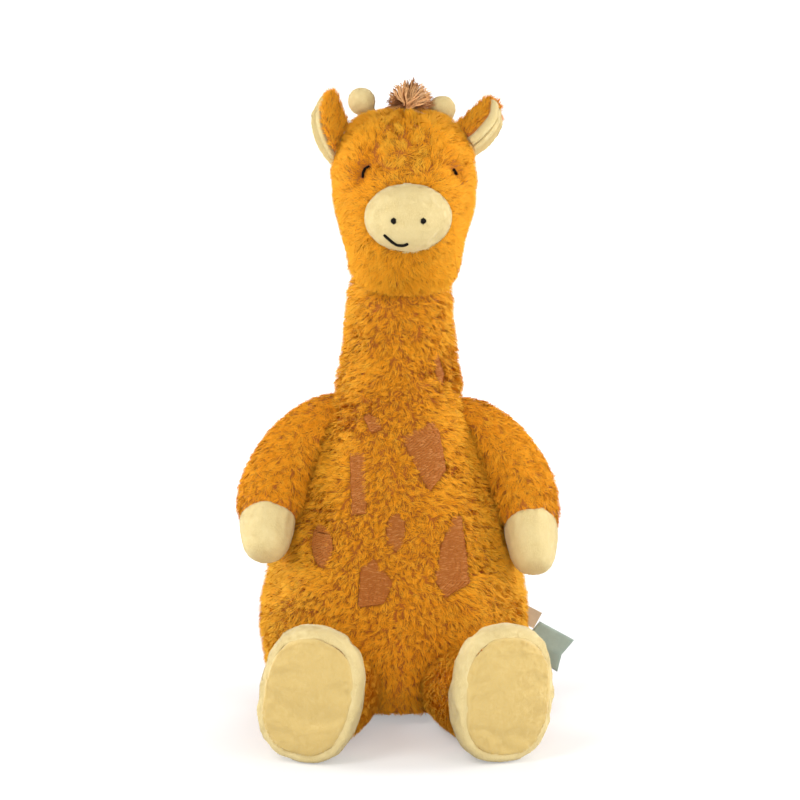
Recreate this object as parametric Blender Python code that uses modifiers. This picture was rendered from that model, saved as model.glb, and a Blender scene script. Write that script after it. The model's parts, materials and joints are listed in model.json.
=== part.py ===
"""Seated plush giraffe: sewn skins over stuffing, with embroidery and soft sewn joints.

Metres, +Z up. The toy faces -Y and its own left is +X. The origin is the middle of the flat seat.
"""

from math import copysign, cos, pi, radians, sin, sqrt

import bmesh
import bpy
from mathutils import Matrix, Vector
from mathutils.bvhtree import BVHTree

# Cloth, thread and clearances
FUR_CLOTH = 0.0020
VELBOA = 0.0013
THREAD = 0.0007
PATCH = 0.0009
LABEL_CLOTH = 0.0006
GAP = 0.0004
SOCKET_GAP = 0.0007
STUFFING_GAP = 0.0005
FLOOR_CUT = 0.0005
LEG_SINK = 0.0012
OVERRUN = 0.030

# Sides round a sphere and from pole to pole
BALL_STEPS = (18, 10)
SMALL_BALL_STEPS = (10, 6)
POUCH_STEPS = (16, 8)
# Places of a joint's range at which its neighbour is cut out, ends included
SWEEP_STEPS = 3
# Points closer than this share of a piece's own size are one point
MERGE_SHARE = 0.001
SHARP_ANGLE = radians(50)

# Body and neck
NECK_JOINT_HEIGHT = 0.215
BELLY_WIDTH = 0.134
BELLY_DEPTH = 0.106
NECK_WIDTH = 0.051
# Height over the neck joint's height, fullness from neck to belly, forward lean over the belly's depth,
# and how far the belly sags to one side over its width
BODY_SECTION_SHARES = (
    (-0.004, 0.44, -0.01, -0.010),
    (0.020, 0.76, -0.02, -0.018),
    (0.085, 0.95, -0.03, -0.022),
    (0.200, 1.02, -0.04, -0.024),
    (0.320, 0.97, -0.04, -0.022),
    (0.580, 0.49, -0.03, -0.012),
    (0.715, 0.22, -0.01, -0.006),
    (0.800, 0.06, 0.0, -0.003),
    (0.985, 0.0, 0.0, 0.0),
)
# The neck's domed end: rise and radius over the neck's half width
NECK_DOME_SHARES = ((0.46, 0.87), (0.88, 0.42))
NECK_STEPS = (24, 12)
BODY_SIDES = 10

# Pellet pouch in the seat
POUCH_WIDTH = 0.070
POUCH_DEPTH = 0.050
POUCH_HEIGHT = 0.022
POUCH_BACK = 0.014
# The hollow for the pouch opens downwards: drop over the pouch's height, and size over the pouch's
POUCH_MOUTH_DROP_SHARE = 0.25
POUCH_MOUTH_SHARE = 0.8

# Head, from the neck joint up
HEAD_WIDTH = 0.073
HEAD_DEPTH = 0.084
HEAD_HEIGHT = 0.089
HEAD_TURN = radians(3)
HEAD_SHIFT = 0.0015
# Height over the head's height, half width over half the head's width, front and back over the head's depth
HEAD_SECTION_SHARES = (
    (-0.045, 0.50, 0.34, 0.22),
    (0.000, 0.73, 0.45, 0.33),
    (0.130, 0.74, 0.54, 0.35),
    (0.300, 0.85, 0.62, 0.38),
    (0.480, 0.97, 0.61, 0.41),
    (0.670, 0.98, 0.51, 0.41),
    (0.830, 0.86, 0.38, 0.35),
    (0.950, 0.52, 0.21, 0.21),
)
HEAD_SIDES = 8
NOD_RANGE = (radians(-10), radians(15))

# Muzzle and face
MUZZLE_WIDTH = 0.044
MUZZLE_HEIGHT = 0.035
MUZZLE_DEPTH = 0.030
MUZZLE_RISE = 0.036
# How far the muzzle's middle lies behind the head's front
MUZZLE_SINK = 0.0040
MUZZLE_STEPS = (20, 12)
NOSTRIL_WIDTH = 0.0030
NOSTRIL_HEIGHT = 0.0034
# Across and up, over half the muzzle's width and height
NOSTRIL_SHARES = (0.33, -0.05)
SMILE_SHARES = ((-0.52, -0.44), (-0.40, -0.58), (-0.26, -0.69), (-0.10, -0.74), (0.03, -0.73), (0.12, -0.68))
EYE_SPACING = 0.0416
EYE_RISE = 0.057
EYE_SIZE = 0.0080
# Outwards and up, over the eye's size
EYE_ARC_SHARES = ((0.42, -0.56), (0.36, -0.20), (0.24, 0.10), (0.04, 0.30), (-0.20, 0.40), (-0.42, 0.40))

# Ears: leaves folded along their middle, sewn on with the fold at the top so that they open outwards
EAR_LENGTH = 0.0275
EAR_WIDTH = 0.034
EAR_CLOTH = 0.0030
EAR_DROP = {"left": 0.0150, "right": 0.0195}
# How far the ear's root lies inside the head's side
EAR_SINK = 0.0040
EAR_ROOT = 0.014
EAR_LEAN = {"left": radians(46), "right": radians(22)}
EAR_FACING = radians(78)
EAR_FOLD = radians(57)
# Lean of the seam that holds the ear, about which it bends
EAR_SEAM = radians(33)
# Half width over half the ear's width, from root to tip
EAR_LEAF_SHARES = (0.60, 0.80, 0.91, 0.97, 1.0, 0.97, 0.90, 0.76, 0.36)
# Places across the ear over its half width
EAR_ACROSS_SHARES = (-1, -0.5, 0, 0.5, 1)
LINING_CLOTH = 0.0028
LINING_SHARE = 1.04
LINING_LENGTH_SHARE = 0.97
EAR_FLEX = radians(15)

# Ossicones: knob on a short stalk
KNOB_WIDTH = 0.0138
STALK_WIDTH = 0.0085
OSSICONE_SPACING = 0.030
OSSICONE_HEIGHT = 0.019
OSSICONE_SINK = 0.0037
OSSICONE_BACK = 0.0115
OSSICONE_LEAN = radians(24)
LEFT_OSSICONE_DROP = 0.004
OSSICONE_STEPS = 12
# The knob's round profile, from near its top to where it meets the stalk
KNOB_ARC = (radians(72), radians(-50))
KNOB_POINTS = 6
STALK_ROOT = 0.006

# Mane
MANE_WIDTH = 0.017
MANE_HEIGHT = 0.010
MANE_SHIFT = 0.003
CROWN_MANE_ANGLES = (radians(-26), radians(98))
# The crown tuft's round path: its half depth over the head's depth, and its middle over the head's height
CROWN_DEPTH_SHARE = 0.41
CROWN_MIDDLE_SHARE = 0.53
NECK_MANE_DROP = 0.012
NECK_MANE_LENGTH = 0.063
MANE_LIFT_SHARE = 0.125
MANE_TAPER_SHARES = (0.45, 0.85, 1.0, 1.0, 0.9, 0.5)

# Arms: out, forward and down over the arm's length, and radius over half its width, from shoulder to hand
ARM_LENGTH = 0.066
ARM_WIDTH = 0.038
SHOULDER_WIDTH = 0.026
SHOULDER_SPACING = 0.068
SHOULDER_HEIGHT = 0.147
ARM_PATH_SHARES = (
    (-0.17, -0.02, -0.04, 0.50),
    (0.02, 0.00, 0.01, 0.76),
    (0.27, 0.08, 0.21, 0.93),
    (0.42, 0.18, 0.50, 1.00),
    (0.47, 0.29, 0.66, 0.92),
    (0.485, 0.41, 0.77, 0.76),
    (0.485, 0.54, 0.89, 0.68),
    (0.48, 0.62, 0.975, 0.40),
)
# The wrist seam lies at this share of the way from this point of the path to the next
WRIST_FROM = 4
WRIST_SHARE = 0.64
ARM_SIDES = 7
ARM_SETTLE = {"left": radians(8), "right": radians(0)}
RAISE_RANGE = (radians(0), radians(60))

# Legs: along the leg over its length, and half size over half the leg's width
LEG_LENGTH = 0.056
LEG_WIDTH = 0.0425
HIP_WIDTH = 0.035
HIP_SPACING = 0.053
HIP_FORWARD = 0.042
HIP_HEIGHT = 0.0205
LEG_SPLAY = {"left": radians(17), "right": radians(12)}
LEG_SHARES = ((-0.30, 0.52), (0.0, 0.86), (0.42, 1.02), (0.90, 0.95))

# Feet
FOOT_WIDTH = 0.0510
FOOT_HEIGHT = 0.0685
FOOT_DEPTH = 0.026
# Reach over the foot's depth, and outline over the foot's size
FOOT_SHARES = ((0.22, 0.88), (0.60, 1.0), (0.92, 0.97), (1.12, 0.82))
FOOT_SQUARENESS = 0.72
SOLE_SHARE = 1.0
FOOT_ROLL = {"left": radians(4), "right": radians(-12)}
LEG_SIDES = 8
SWING_RANGE = (radians(-30), radians(15))

# Tail
TAIL_HEIGHT = 0.034
TAIL_WIDTH = 0.009
TAIL_ANGLES = (radians(88), radians(144))
TUFT_WIDTH = 0.014
TUFT_ANGLES = (radians(135), radians(165))
TAIL_POINTS = 6
TAIL_ROOT_SHARE = 0.8
# How far the middle of tail and tuft stands off the body over their half widths, at the root and at the tip
TAIL_LIFT_SHARES = (1.1, 1.3)
TUFT_LIFT_SHARE = 1.15
TUFT_SHARES = (0.80, 1.0, 1.0, 0.85, 0.35)
TAIL_SIDES = 8

# Labels at the left hip seam
WOVEN_LABEL_WIDTH = 0.009
WOVEN_LABEL_HEIGHT = 0.009
WOVEN_LABEL_AT = 0.044
WOVEN_LABEL_TURN = radians(-28)
SQUARE_LABEL_SIDE = 0.020
SQUARE_LABEL_AT = 0.0295
SQUARE_LABEL_TURN = radians(-29)
LABEL_BACK = 0.004
# How far a label's middle stands out of the seam over its width
LABEL_OUT_SHARE = 0.42

# Spots: convex outlines, across over half the belly's width and up over the neck joint's height
SPOT_OUTLINE_SHARES = {
    "spot_neck": ((0.225, 0.838), (0.255, 0.842), (0.300, 0.790), (0.290, 0.768), (0.255, 0.785)),
    "spot_collar": ((-0.255, 0.700), (-0.215, 0.709), (-0.140, 0.698), (-0.135, 0.674), (-0.200, 0.668)),
    "spot_tall": ((-0.350, 0.618), (-0.245, 0.622), (-0.240, 0.490), (-0.345, 0.485)),
    "spot_chest": (
        (0.010, 0.660),
        (0.225, 0.690),
        (0.272, 0.668),
        (0.322, 0.580),
        (0.205, 0.540),
        (0.115, 0.588),
    ),
    "spot_triangle": (
        (0.380, 0.482),
        (0.435, 0.476),
        (0.495, 0.330),
        (0.315, 0.302),
        (0.245, 0.345),
        (0.295, 0.420),
    ),
    "spot_diamond": ((-0.305, 0.282), (-0.282, 0.370), (-0.196, 0.392), (-0.050, 0.340), (-0.115, 0.292)),
}
# Middle and half sizes of the two oval spots, over the same sizes
SPOT_OVAL_SHARES = {
    "spot_oval": (-0.029, 0.451, 0.066, 0.043),
    "spot_side": (-0.555, 0.410, 0.072, 0.047),
}
OVAL_POINTS = 12
SPOT_MESH = 0.0045
SPOT_MERGE_SHARE = 0.05

PARTS = "plush_giraffe"
CUTTERS = "cutters"
SIDES = {"left": 1, "right": -1}
X_AXIS = Vector((1, 0, 0))
Y_AXIS = Vector((0, 1, 0))
Z_AXIS = Vector((0, 0, 1))
NECK_JOINT = Vector((0, 0, NECK_JOINT_HEIGHT))


def clear_scene():
    """Empties the scene and makes the two collections."""
    for obj in list(bpy.data.objects):
        bpy.data.objects.remove(obj, do_unlink=True)
    for name in (PARTS, CUTTERS):
        bpy.context.scene.collection.children.link(bpy.data.collections.new(name))


def linear(channel):
    """One sRGB channel, 0 to 1, as linear light."""
    return channel / 12.92 if channel <= 0.04045 else ((channel + 0.055) / 1.055) ** 2.4


def cloth(name, colour, roughness):
    """A plain cloth material in an sRGB hex colour."""
    material = bpy.data.materials.new(name)
    material.use_nodes = True
    shader = material.node_tree.nodes["Principled BSDF"]
    channels = [linear(int(colour[i : i + 2], 16) / 255) for i in (1, 3, 5)]
    shader.inputs["Base Color"].default_value = (*channels, 1)
    shader.inputs["Roughness"].default_value = roughness
    shader.inputs["Metallic"].default_value = 0
    return material


def make_materials():
    return {
        "fur": cloth("orange_plush", "#C8781F", 0.95),
        "velboa": cloth("cream_velboa", "#E3CD8C", 0.85),
        "stitch": cloth("black_thread", "#1C1714", 0.55),
        "patch": cloth("brown_embroidery", "#A45C22", 0.6),
        "mane": cloth("brown_yarn", "#A87A50", 0.9),
        "filling": cloth("polyester_fibre", "#F1F0EC", 1.0),
        "pellets": cloth("pellet_pouch_cloth", "#D9D4C6", 0.9),
        "woven": cloth("woven_label", "#CBB597", 0.7),
        "square": cloth("grey_green_label", "#9CA99C", 0.7),
    }


def added(name, mesh, role, material=None):
    """A new object in the collection of parts or of cutters."""
    obj = bpy.data.objects.new(name, mesh)
    bpy.data.collections[role].objects.link(obj)
    if role == CUTTERS:
        obj.hide_render = True
        obj.display_type = "WIRE"
    if material:
        mesh.materials.clear()
        mesh.materials.append(material)
    return obj


def copied(obj, name, role=CUTTERS, material=None):
    return added(name, obj.data.copy(), role, material)


def settled(obj):
    """The object with its modifiers worked into its mesh."""
    bpy.context.view_layer.update()
    graph = bpy.context.evaluated_depsgraph_get()
    mesh = bpy.data.meshes.new_from_object(obj.evaluated_get(graph))
    obj.modifiers.clear()
    obj.data = mesh
    return obj


def carved(obj, cutters, operation="DIFFERENCE"):
    """The object after a Boolean with each cutter in turn."""
    for cutter in cutters:
        modifier = obj.modifiers.new("carve", "BOOLEAN")
        modifier.object = cutter
        modifier.operation = operation
        modifier.solver = "EXACT"
        settled(obj)
    return obj


def grown(obj, name, by):
    """A cutter that stands off the object's surface by a distance, or inside it where that is negative."""
    cutter = copied(obj, name)
    modifier = cutter.modifiers.new("grow", "DISPLACE")
    modifier.strength = by
    modifier.mid_level = 0
    return settled(cutter)


def sliced(obj, point, normal, fill=True):
    """The object without what lies past a plane, closed there by a flat face or left open."""
    bm = bmesh.new()
    bm.from_mesh(obj.data)
    everything = bm.verts[:] + bm.edges[:] + bm.faces[:]
    cut = bmesh.ops.bisect_plane(bm, geom=everything, plane_co=point, plane_no=normal, clear_outer=True)
    rim = [item for item in cut["geom_cut"] if isinstance(item, bmesh.types.BMEdge)]
    if fill and rim:
        bmesh.ops.edgeloop_fill(bm, edges=rim)
        bmesh.ops.recalc_face_normals(bm, faces=bm.faces)
    bm.to_mesh(obj.data)
    bm.free()
    return obj


def stood(obj, height=0.0):
    """The object cut flat at the floor, or at a height above it."""
    return sliced(obj, Vector((0, 0, height)), -Z_AXIS)


def shell(obj, thickness):
    """An open surface as cloth of this thickness, laid inwards."""
    modifier = obj.modifiers.new("cloth", "SOLIDIFY")
    modifier.thickness = thickness
    modifier.offset = -1
    modifier.use_even_offset = True
    return settled(obj)


def smooth(obj):
    obj.data.shade_smooth()
    obj.data.set_sharp_from_angle(angle=SHARP_ANGLE)
    return obj


def ring(centre, across, up, half_width, half_height, sides, squareness=1):
    """Points round an ellipse, set out so that one subdivision brings them to its size.
    A squareness below 1 makes it more of a rectangle."""
    cage_share = 4 / (3 + cos(2 * pi / sides))
    points = []
    for i in range(sides):
        angle = 2 * pi * (i + 0.5) / sides
        out = copysign(abs(cos(angle)) ** squareness, cos(angle)) * half_width
        rise = copysign(abs(sin(angle)) ** squareness, sin(angle)) * half_height
        points.append(centre + cage_share * (across * out + up * rise))
    return points


def soft_form(name, rings):
    """A closed cage through the rings, rounded by one subdivision."""
    bm = bmesh.new()
    loops = [[bm.verts.new(point) for point in points] for points in rings]
    for low, high in zip(loops, loops[1:]):
        for i, corner in enumerate(low):
            after = (i + 1) % len(low)
            bm.faces.new((corner, low[after], high[after], high[i]))
    bm.faces.new(reversed(loops[0]))
    bm.faces.new(loops[-1])
    bmesh.ops.recalc_face_normals(bm, faces=bm.faces)
    mesh = bpy.data.meshes.new(name)
    bm.to_mesh(mesh)
    bm.free()
    form = added(name, mesh, CUTTERS)
    modifier = form.modifiers.new("rounding", "SUBSURF")
    modifier.levels = 1
    modifier.render_levels = 1
    return settled(form)


def ball(name, centre, radii, steps=BALL_STEPS):
    """A cutter in the shape of a sphere or an ellipsoid."""
    bm = bmesh.new()
    bmesh.ops.create_uvsphere(bm, u_segments=steps[0], v_segments=steps[1], radius=1)
    bm.transform(Matrix.Translation(centre) @ Matrix.Diagonal((*radii, 1)))
    mesh = bpy.data.meshes.new(name)
    bm.to_mesh(mesh)
    bm.free()
    return added(name, mesh, CUTTERS)


def turn_about(point, axis, angle):
    return Matrix.Translation(point) @ Matrix.Rotation(angle, 4, axis) @ Matrix.Translation(-point)


def make_body_form():
    rings = []
    for height_share, full, lean, sag in BODY_SECTION_SHARES:
        half_width = (NECK_WIDTH + (BELLY_WIDTH - NECK_WIDTH) * full) / 2
        half_depth = (NECK_WIDTH + (BELLY_DEPTH - NECK_WIDTH) * full) / 2
        centre = Vector((BELLY_WIDTH * sag, BELLY_DEPTH * lean, NECK_JOINT_HEIGHT * height_share))
        rings.append(ring(centre, X_AXIS, Y_AXIS, half_width, half_depth, BODY_SIDES))
    for rise, radius in NECK_DOME_SHARES:
        centre = NECK_JOINT + Z_AXIS * rise * NECK_WIDTH / 2
        half = radius * NECK_WIDTH / 2
        rings.append(ring(centre, X_AXIS, Y_AXIS, half, half, BODY_SIDES))
    return soft_form("body_form", rings)


def head_point(across, forward, rise):
    """A point of the head: its place from the neck joint, with the head's turn and shift."""
    turned = Matrix.Rotation(HEAD_TURN, 3, "Z") @ Vector((across, -forward, rise))
    return NECK_JOINT + turned + X_AXIS * HEAD_SHIFT


def head_direction(across, forward, rise):
    return Matrix.Rotation(HEAD_TURN, 3, "Z") @ Vector((across, -forward, rise))


def make_head_form():
    rings = []
    for height_share, width, front, back in HEAD_SECTION_SHARES:
        centre = head_point(0, HEAD_DEPTH * (front - back) / 2, HEAD_HEIGHT * height_share)
        half_depth = HEAD_DEPTH * (front + back) / 2
        across = head_direction(1, 0, 0)
        along = head_direction(0, -1, 0)
        rings.append(ring(centre, across, along, width * HEAD_WIDTH / 2, half_depth, HEAD_SIDES))
    return soft_form("head_form", rings)


def surface_of(obj):
    """A search tree over the object's surface."""
    bm = bmesh.new()
    bm.from_mesh(obj.data)
    tree = BVHTree.FromBMesh(bm)
    bm.free()
    return tree


def on_surface(tree, start, direction, lift):
    """Where a ray first meets a surface, lifted off it along its normal."""
    place, normal, _, _ = tree.ray_cast(start, direction)
    if place is None:
        raise ValueError("a stitched piece misses the surface under it")
    return place + normal * lift


def sewn_tube(name, points, radii, sides):
    """A soft form that follows a path, with a radius at each point. Its rings turn only as the path does."""
    rings = []
    across = (points[1] - points[0]).orthogonal()
    for i, (point, radius) in enumerate(zip(points, radii)):
        tangent = (points[min(i + 1, len(points) - 1)] - points[max(i - 1, 0)]).normalized()
        across = (across - tangent * across.dot(tangent)).normalized()
        up = across.cross(tangent)
        rings.append(ring(point, across, up, radius, radius, sides))
    return soft_form(name, rings)


def stitched_line(name, points, material):
    """A satin-stitched line: a round cord through points that lie on the cloth."""
    curve = bpy.data.curves.new(name, "CURVE")
    curve.dimensions = "3D"
    curve.bevel_depth = THREAD
    curve.bevel_resolution = 1
    curve.use_fill_caps = True
    spline = curve.splines.new("POLY")
    spline.points.add(len(points) - 1)
    for knot, point in zip(spline.points, points):
        knot.co = (*point, 1)
    guide = bpy.data.objects.new(name + "_guide", curve)
    bpy.context.scene.collection.objects.link(guide)
    bpy.context.view_layer.update()
    mesh = bpy.data.meshes.new_from_object(guide.evaluated_get(bpy.context.evaluated_depsgraph_get()))
    bpy.data.objects.remove(guide, do_unlink=True)
    bm = bmesh.new()
    bm.from_mesh(mesh)
    bmesh.ops.remove_doubles(bm, verts=bm.verts, dist=THREAD * MERGE_SHARE)
    bmesh.ops.recalc_face_normals(bm, faces=bm.faces)
    bm.to_mesh(mesh)
    bm.free()
    return smooth(added(name, mesh, PARTS, material))


def convex_sheet(name, outline, lift_to):
    """A flat convex outline in X and Z, meshed finely and draped by a function onto the cloth under it."""
    corners = [Vector(corner) for corner in outline]
    middle = sum(corners, Vector((0, 0))) / len(corners)
    reach = max((corner - middle).length for corner in corners)
    bm = bmesh.new()
    steps = max(2, round(2 * reach / SPOT_MESH))
    bmesh.ops.create_grid(bm, x_segments=steps, y_segments=steps, size=reach)
    bm.transform(Matrix.Translation((middle.x, 0, middle.y)) @ Matrix.Rotation(pi / 2, 4, "X"))
    for first, second in zip(corners, corners[1:] + corners[:1]):
        edge = second - first
        normal = Vector((edge.y, 0, -edge.x))
        point = Vector((first.x, 0, first.y))
        if normal.dot(Vector((middle.x, 0, middle.y)) - point) > 0:
            normal.negate()
        everything = bm.verts[:] + bm.edges[:] + bm.faces[:]
        bmesh.ops.bisect_plane(bm, geom=everything, plane_co=point, plane_no=normal, clear_outer=True)
    bmesh.ops.dissolve_degenerate(bm, edges=bm.edges, dist=SPOT_MESH * SPOT_MERGE_SHARE)
    for vert in bm.verts:
        vert.co = lift_to(vert.co.x, vert.co.z)
    bmesh.ops.recalc_face_normals(bm, faces=bm.faces)
    if sum(face.normal.y for face in bm.faces) > 0:
        bmesh.ops.reverse_faces(bm, faces=bm.faces)
    mesh = bpy.data.meshes.new(name)
    bm.to_mesh(mesh)
    bm.free()
    return mesh


def make_spots(body_tree, material):
    """The embroidered patches, draped over the body's front."""
    half = BELLY_WIDTH / 2
    outlines = {
        name: [(across * half, up * NECK_JOINT_HEIGHT) for across, up in corners]
        for name, corners in SPOT_OUTLINE_SHARES.items()
    }
    for name, (across, up, wide, tall) in SPOT_OVAL_SHARES.items():
        angles = [2 * pi * i / OVAL_POINTS for i in range(OVAL_POINTS)]
        outlines[name] = [
            ((across + wide * cos(a)) * half, (up + tall * sin(a)) * NECK_JOINT_HEIGHT) for a in angles
        ]

    def draped(x, z):
        return on_surface(body_tree, Vector((x, -BELLY_DEPTH, z)), Y_AXIS, GAP)

    spots = []
    for name, outline in outlines.items():
        spot = added(name, convex_sheet(name, outline, draped), PARTS, material)
        modifier = spot.modifiers.new("stitches", "SOLIDIFY")
        modifier.thickness = PATCH
        modifier.offset = 1
        spots.append(settled(spot))
    return spots


def make_body(form, materials):
    """Skin, stuffing and pellet pouch of the body and neck."""
    skin = copied(form, "body_skin", PARTS, materials["fur"])
    stood(skin)
    sliced(skin, NECK_JOINT, Z_AXIS, fill=False)
    shell(skin, FUR_CLOTH)
    inside = FUR_CLOTH + STUFFING_GAP
    stuffing = copied(grown(form, "body_inside", -inside), "body_stuffing", PARTS, materials["filling"])
    stood(stuffing, inside)
    radii = Vector((POUCH_WIDTH, POUCH_DEPTH, POUCH_HEIGHT)) / 2
    middle = Vector((0, POUCH_BACK, FUR_CLOTH + GAP - FLOOR_CUT + POUCH_HEIGHT / 2))
    pouch = ball("pouch_form", middle, radii, POUCH_STEPS)
    pellets = stood(copied(pouch, "pellet_pouch", PARTS, materials["pellets"]), FUR_CLOTH + GAP)
    room = ball("pouch_room", middle, radii + Vector((STUFFING_GAP, STUFFING_GAP, STUFFING_GAP)), POUCH_STEPS)
    below = middle - Z_AXIS * POUCH_HEIGHT * POUCH_MOUTH_DROP_SHARE
    mouth = ball("pouch_mouth", below, radii * POUCH_MOUTH_SHARE, POUCH_STEPS)
    carved(stuffing, [room, mouth])
    return skin, stuffing, pellets


def swept(name, block, pivot, axis, angles):
    """One cutter: the neighbour as the moving piece meets it at each angle of its range."""
    turned = []
    for i, angle in enumerate(angles):
        cutter = copied(block, f"{name}_stop_{i}")
        cutter.data.transform(turn_about(pivot, axis, -angle))
        turned.append(cutter)
    return carved(turned[0], turned[1:], "UNION")


def limb_stop(name, block, pivot, axis, angles, seat_width):
    """The body as a limb meets it over its range, with the limb's round seat left out."""
    seat = ball(name + "_seat", pivot, Vector((1, 1, 1)) * seat_width / 2)
    return carved(swept(name, block, pivot, axis, angles), [seat])


def socket(name, pivot, seat_width):
    radius = seat_width / 2 + SOCKET_GAP
    return ball(name + "_socket", pivot, Vector((radius, radius, radius)))


def between(low, high, count):
    return [low + (high - low) * i / (count - 1) for i in range(count)]


def arm_pivot(sign):
    return Vector((sign * SHOULDER_SPACING / 2, 0, SHOULDER_HEIGHT))


def make_arm(side, sign, body_block, materials):
    """Sleeve, hand and stuffing of one arm, shaped against the body over the arm's range."""
    pivot = arm_pivot(sign)
    axis = -Y_AXIS * sign
    settle = turn_about(pivot, X_AXIS, ARM_SETTLE[side])
    points = []
    for out, forward, down, _ in ARM_PATH_SHARES:
        points.append(settle @ (pivot + ARM_LENGTH * Vector((sign * out, -forward, -down))))
    radii = [share * ARM_WIDTH / 2 for _, _, _, share in ARM_PATH_SHARES]
    form = sewn_tube(f"arm_form_{side}", points, radii, ARM_SIDES)
    angles = between(*RAISE_RANGE, SWEEP_STEPS)
    stop = limb_stop(f"arm_{side}", body_block, pivot, axis, angles, SHOULDER_WIDTH)
    wrist = points[WRIST_FROM].lerp(points[WRIST_FROM + 1], WRIST_SHARE)
    along = (points[WRIST_FROM + 1] - points[WRIST_FROM]).normalized()
    sleeve = sliced(copied(form, f"arm_sleeve_{side}", PARTS, materials["fur"]), wrist, along)
    hand = sliced(copied(form, f"hand_{side}", PARTS, materials["velboa"]), wrist + along * GAP, -along)
    inside = grown(form, f"arm_inside_{side}", -FUR_CLOTH - STUFFING_GAP)
    stuffing = copied(inside, f"arm_stuffing_{side}", PARTS, materials["filling"])
    carved(hand, [grown(form, f"hand_hollow_{side}", -VELBOA), stop])
    carved(sleeve, [grown(form, f"sleeve_hollow_{side}", -FUR_CLOTH), stop])
    carved(stuffing, [stop])
    return pivot, [sleeve, hand, stuffing]


def leg_frame(side, sign):
    """The leg's hip and the directions along it, across it and up."""
    pivot = Vector((sign * HIP_SPACING / 2, -HIP_FORWARD, HIP_HEIGHT))
    along = Vector((sign * sin(LEG_SPLAY[side]), -cos(LEG_SPLAY[side]), 0))
    across = along.cross(Z_AXIS)
    return pivot, along, across


def make_leg(side, sign, body_block, materials):
    """Skin, foot upper, sole and stuffing of one leg, shaped against the body over the leg's range."""
    pivot, along, across = leg_frame(side, sign)
    roll = Matrix.Rotation(FOOT_ROLL[side] * -sign, 3, along)
    rings = []
    leg_half = LEG_WIDTH / 2
    for reach, size in LEG_SHARES:
        centre = pivot + along * LEG_LENGTH * reach
        centre.z = max(HIP_HEIGHT, leg_half * size - LEG_SINK)
        rings.append(ring(centre, across, Z_AXIS, leg_half * size, leg_half * size, LEG_SIDES))
    for reach, size in FOOT_SHARES:
        half_width = FOOT_WIDTH / 2 * size
        half_height = FOOT_HEIGHT / 2 * size
        centre = pivot + along * (LEG_LENGTH + FOOT_DEPTH * reach)
        centre.z = FOOT_HEIGHT / 2 - LEG_SINK
        upright = roll @ Z_AXIS
        sideways = roll @ across
        rings.append(ring(centre, sideways, upright, half_width, half_height, LEG_SIDES, FOOT_SQUARENESS))
    form = soft_form(f"leg_form_{side}", rings)
    ankle = pivot + along * LEG_LENGTH
    sole_plane = pivot + along * (LEG_LENGTH + FOOT_DEPTH * SOLE_SHARE)
    angles = between(*SWING_RANGE, SWEEP_STEPS)
    stop = limb_stop(f"leg_{side}", body_block, pivot, -X_AXIS, angles, HIP_WIDTH)

    skin = stood(copied(form, f"leg_skin_{side}", PARTS, materials["fur"]))
    shell(sliced(skin, ankle, along, fill=False), FUR_CLOTH)
    upper = stood(copied(form, f"foot_upper_{side}", PARTS, materials["velboa"]))
    sliced(upper, ankle + along * GAP, -along, fill=False)
    shell(sliced(upper, sole_plane, along, fill=False), VELBOA)
    sole = stood(copied(form, f"sole_{side}", PARTS, materials["velboa"]))
    sliced(sole, sole_plane + along * GAP, -along)
    inset = FUR_CLOTH + STUFFING_GAP
    inside = grown(form, f"leg_inside_{side}", -inset)
    stuffing = stood(copied(inside, f"leg_stuffing_{side}", PARTS, materials["filling"]), inset)
    sliced(stuffing, sole_plane, along)
    for piece in (skin, stuffing):
        carved(piece, [stop])
    return pivot, [skin, upper, sole, stuffing]


def neck_stop():
    """The neck as the head meets it over its nod: its stuffed dome, and the neck below at each angle."""
    radius = NECK_WIDTH / 2 + GAP
    bm = bmesh.new()
    place = Matrix.Translation(NECK_JOINT + Z_AXIS * (GAP - OVERRUN / 2))
    bmesh.ops.create_cone(
        bm, cap_ends=True, segments=NECK_STEPS[0], radius1=radius, radius2=radius, depth=OVERRUN, matrix=place
    )
    mesh = bpy.data.meshes.new("neck_block")
    bm.to_mesh(mesh)
    bm.free()
    neck = added(mesh.name, mesh, CUTTERS)
    stop = swept("neck", neck, NECK_JOINT, X_AXIS, between(*NOD_RANGE, SWEEP_STEPS))
    room = NECK_WIDTH / 2 - FUR_CLOTH - STUFFING_GAP + SOCKET_GAP
    dome = ball("neck_room", NECK_JOINT, Vector((room, room, room)), NECK_STEPS)
    return carved(stop, [dome], "UNION")


def make_head(form, materials):
    """Skin and stuffing of the head, open where the neck enters."""
    stop = neck_stop()
    skin = copied(form, "head_skin", PARTS, materials["fur"])
    carved(skin, [grown(form, "head_hollow", -FUR_CLOTH), stop])
    inside = grown(form, "head_inside", -FUR_CLOTH - STUFFING_GAP)
    stuffing = carved(copied(inside, "head_stuffing", PARTS, materials["filling"]), [stop])
    return [skin, stuffing]


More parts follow.
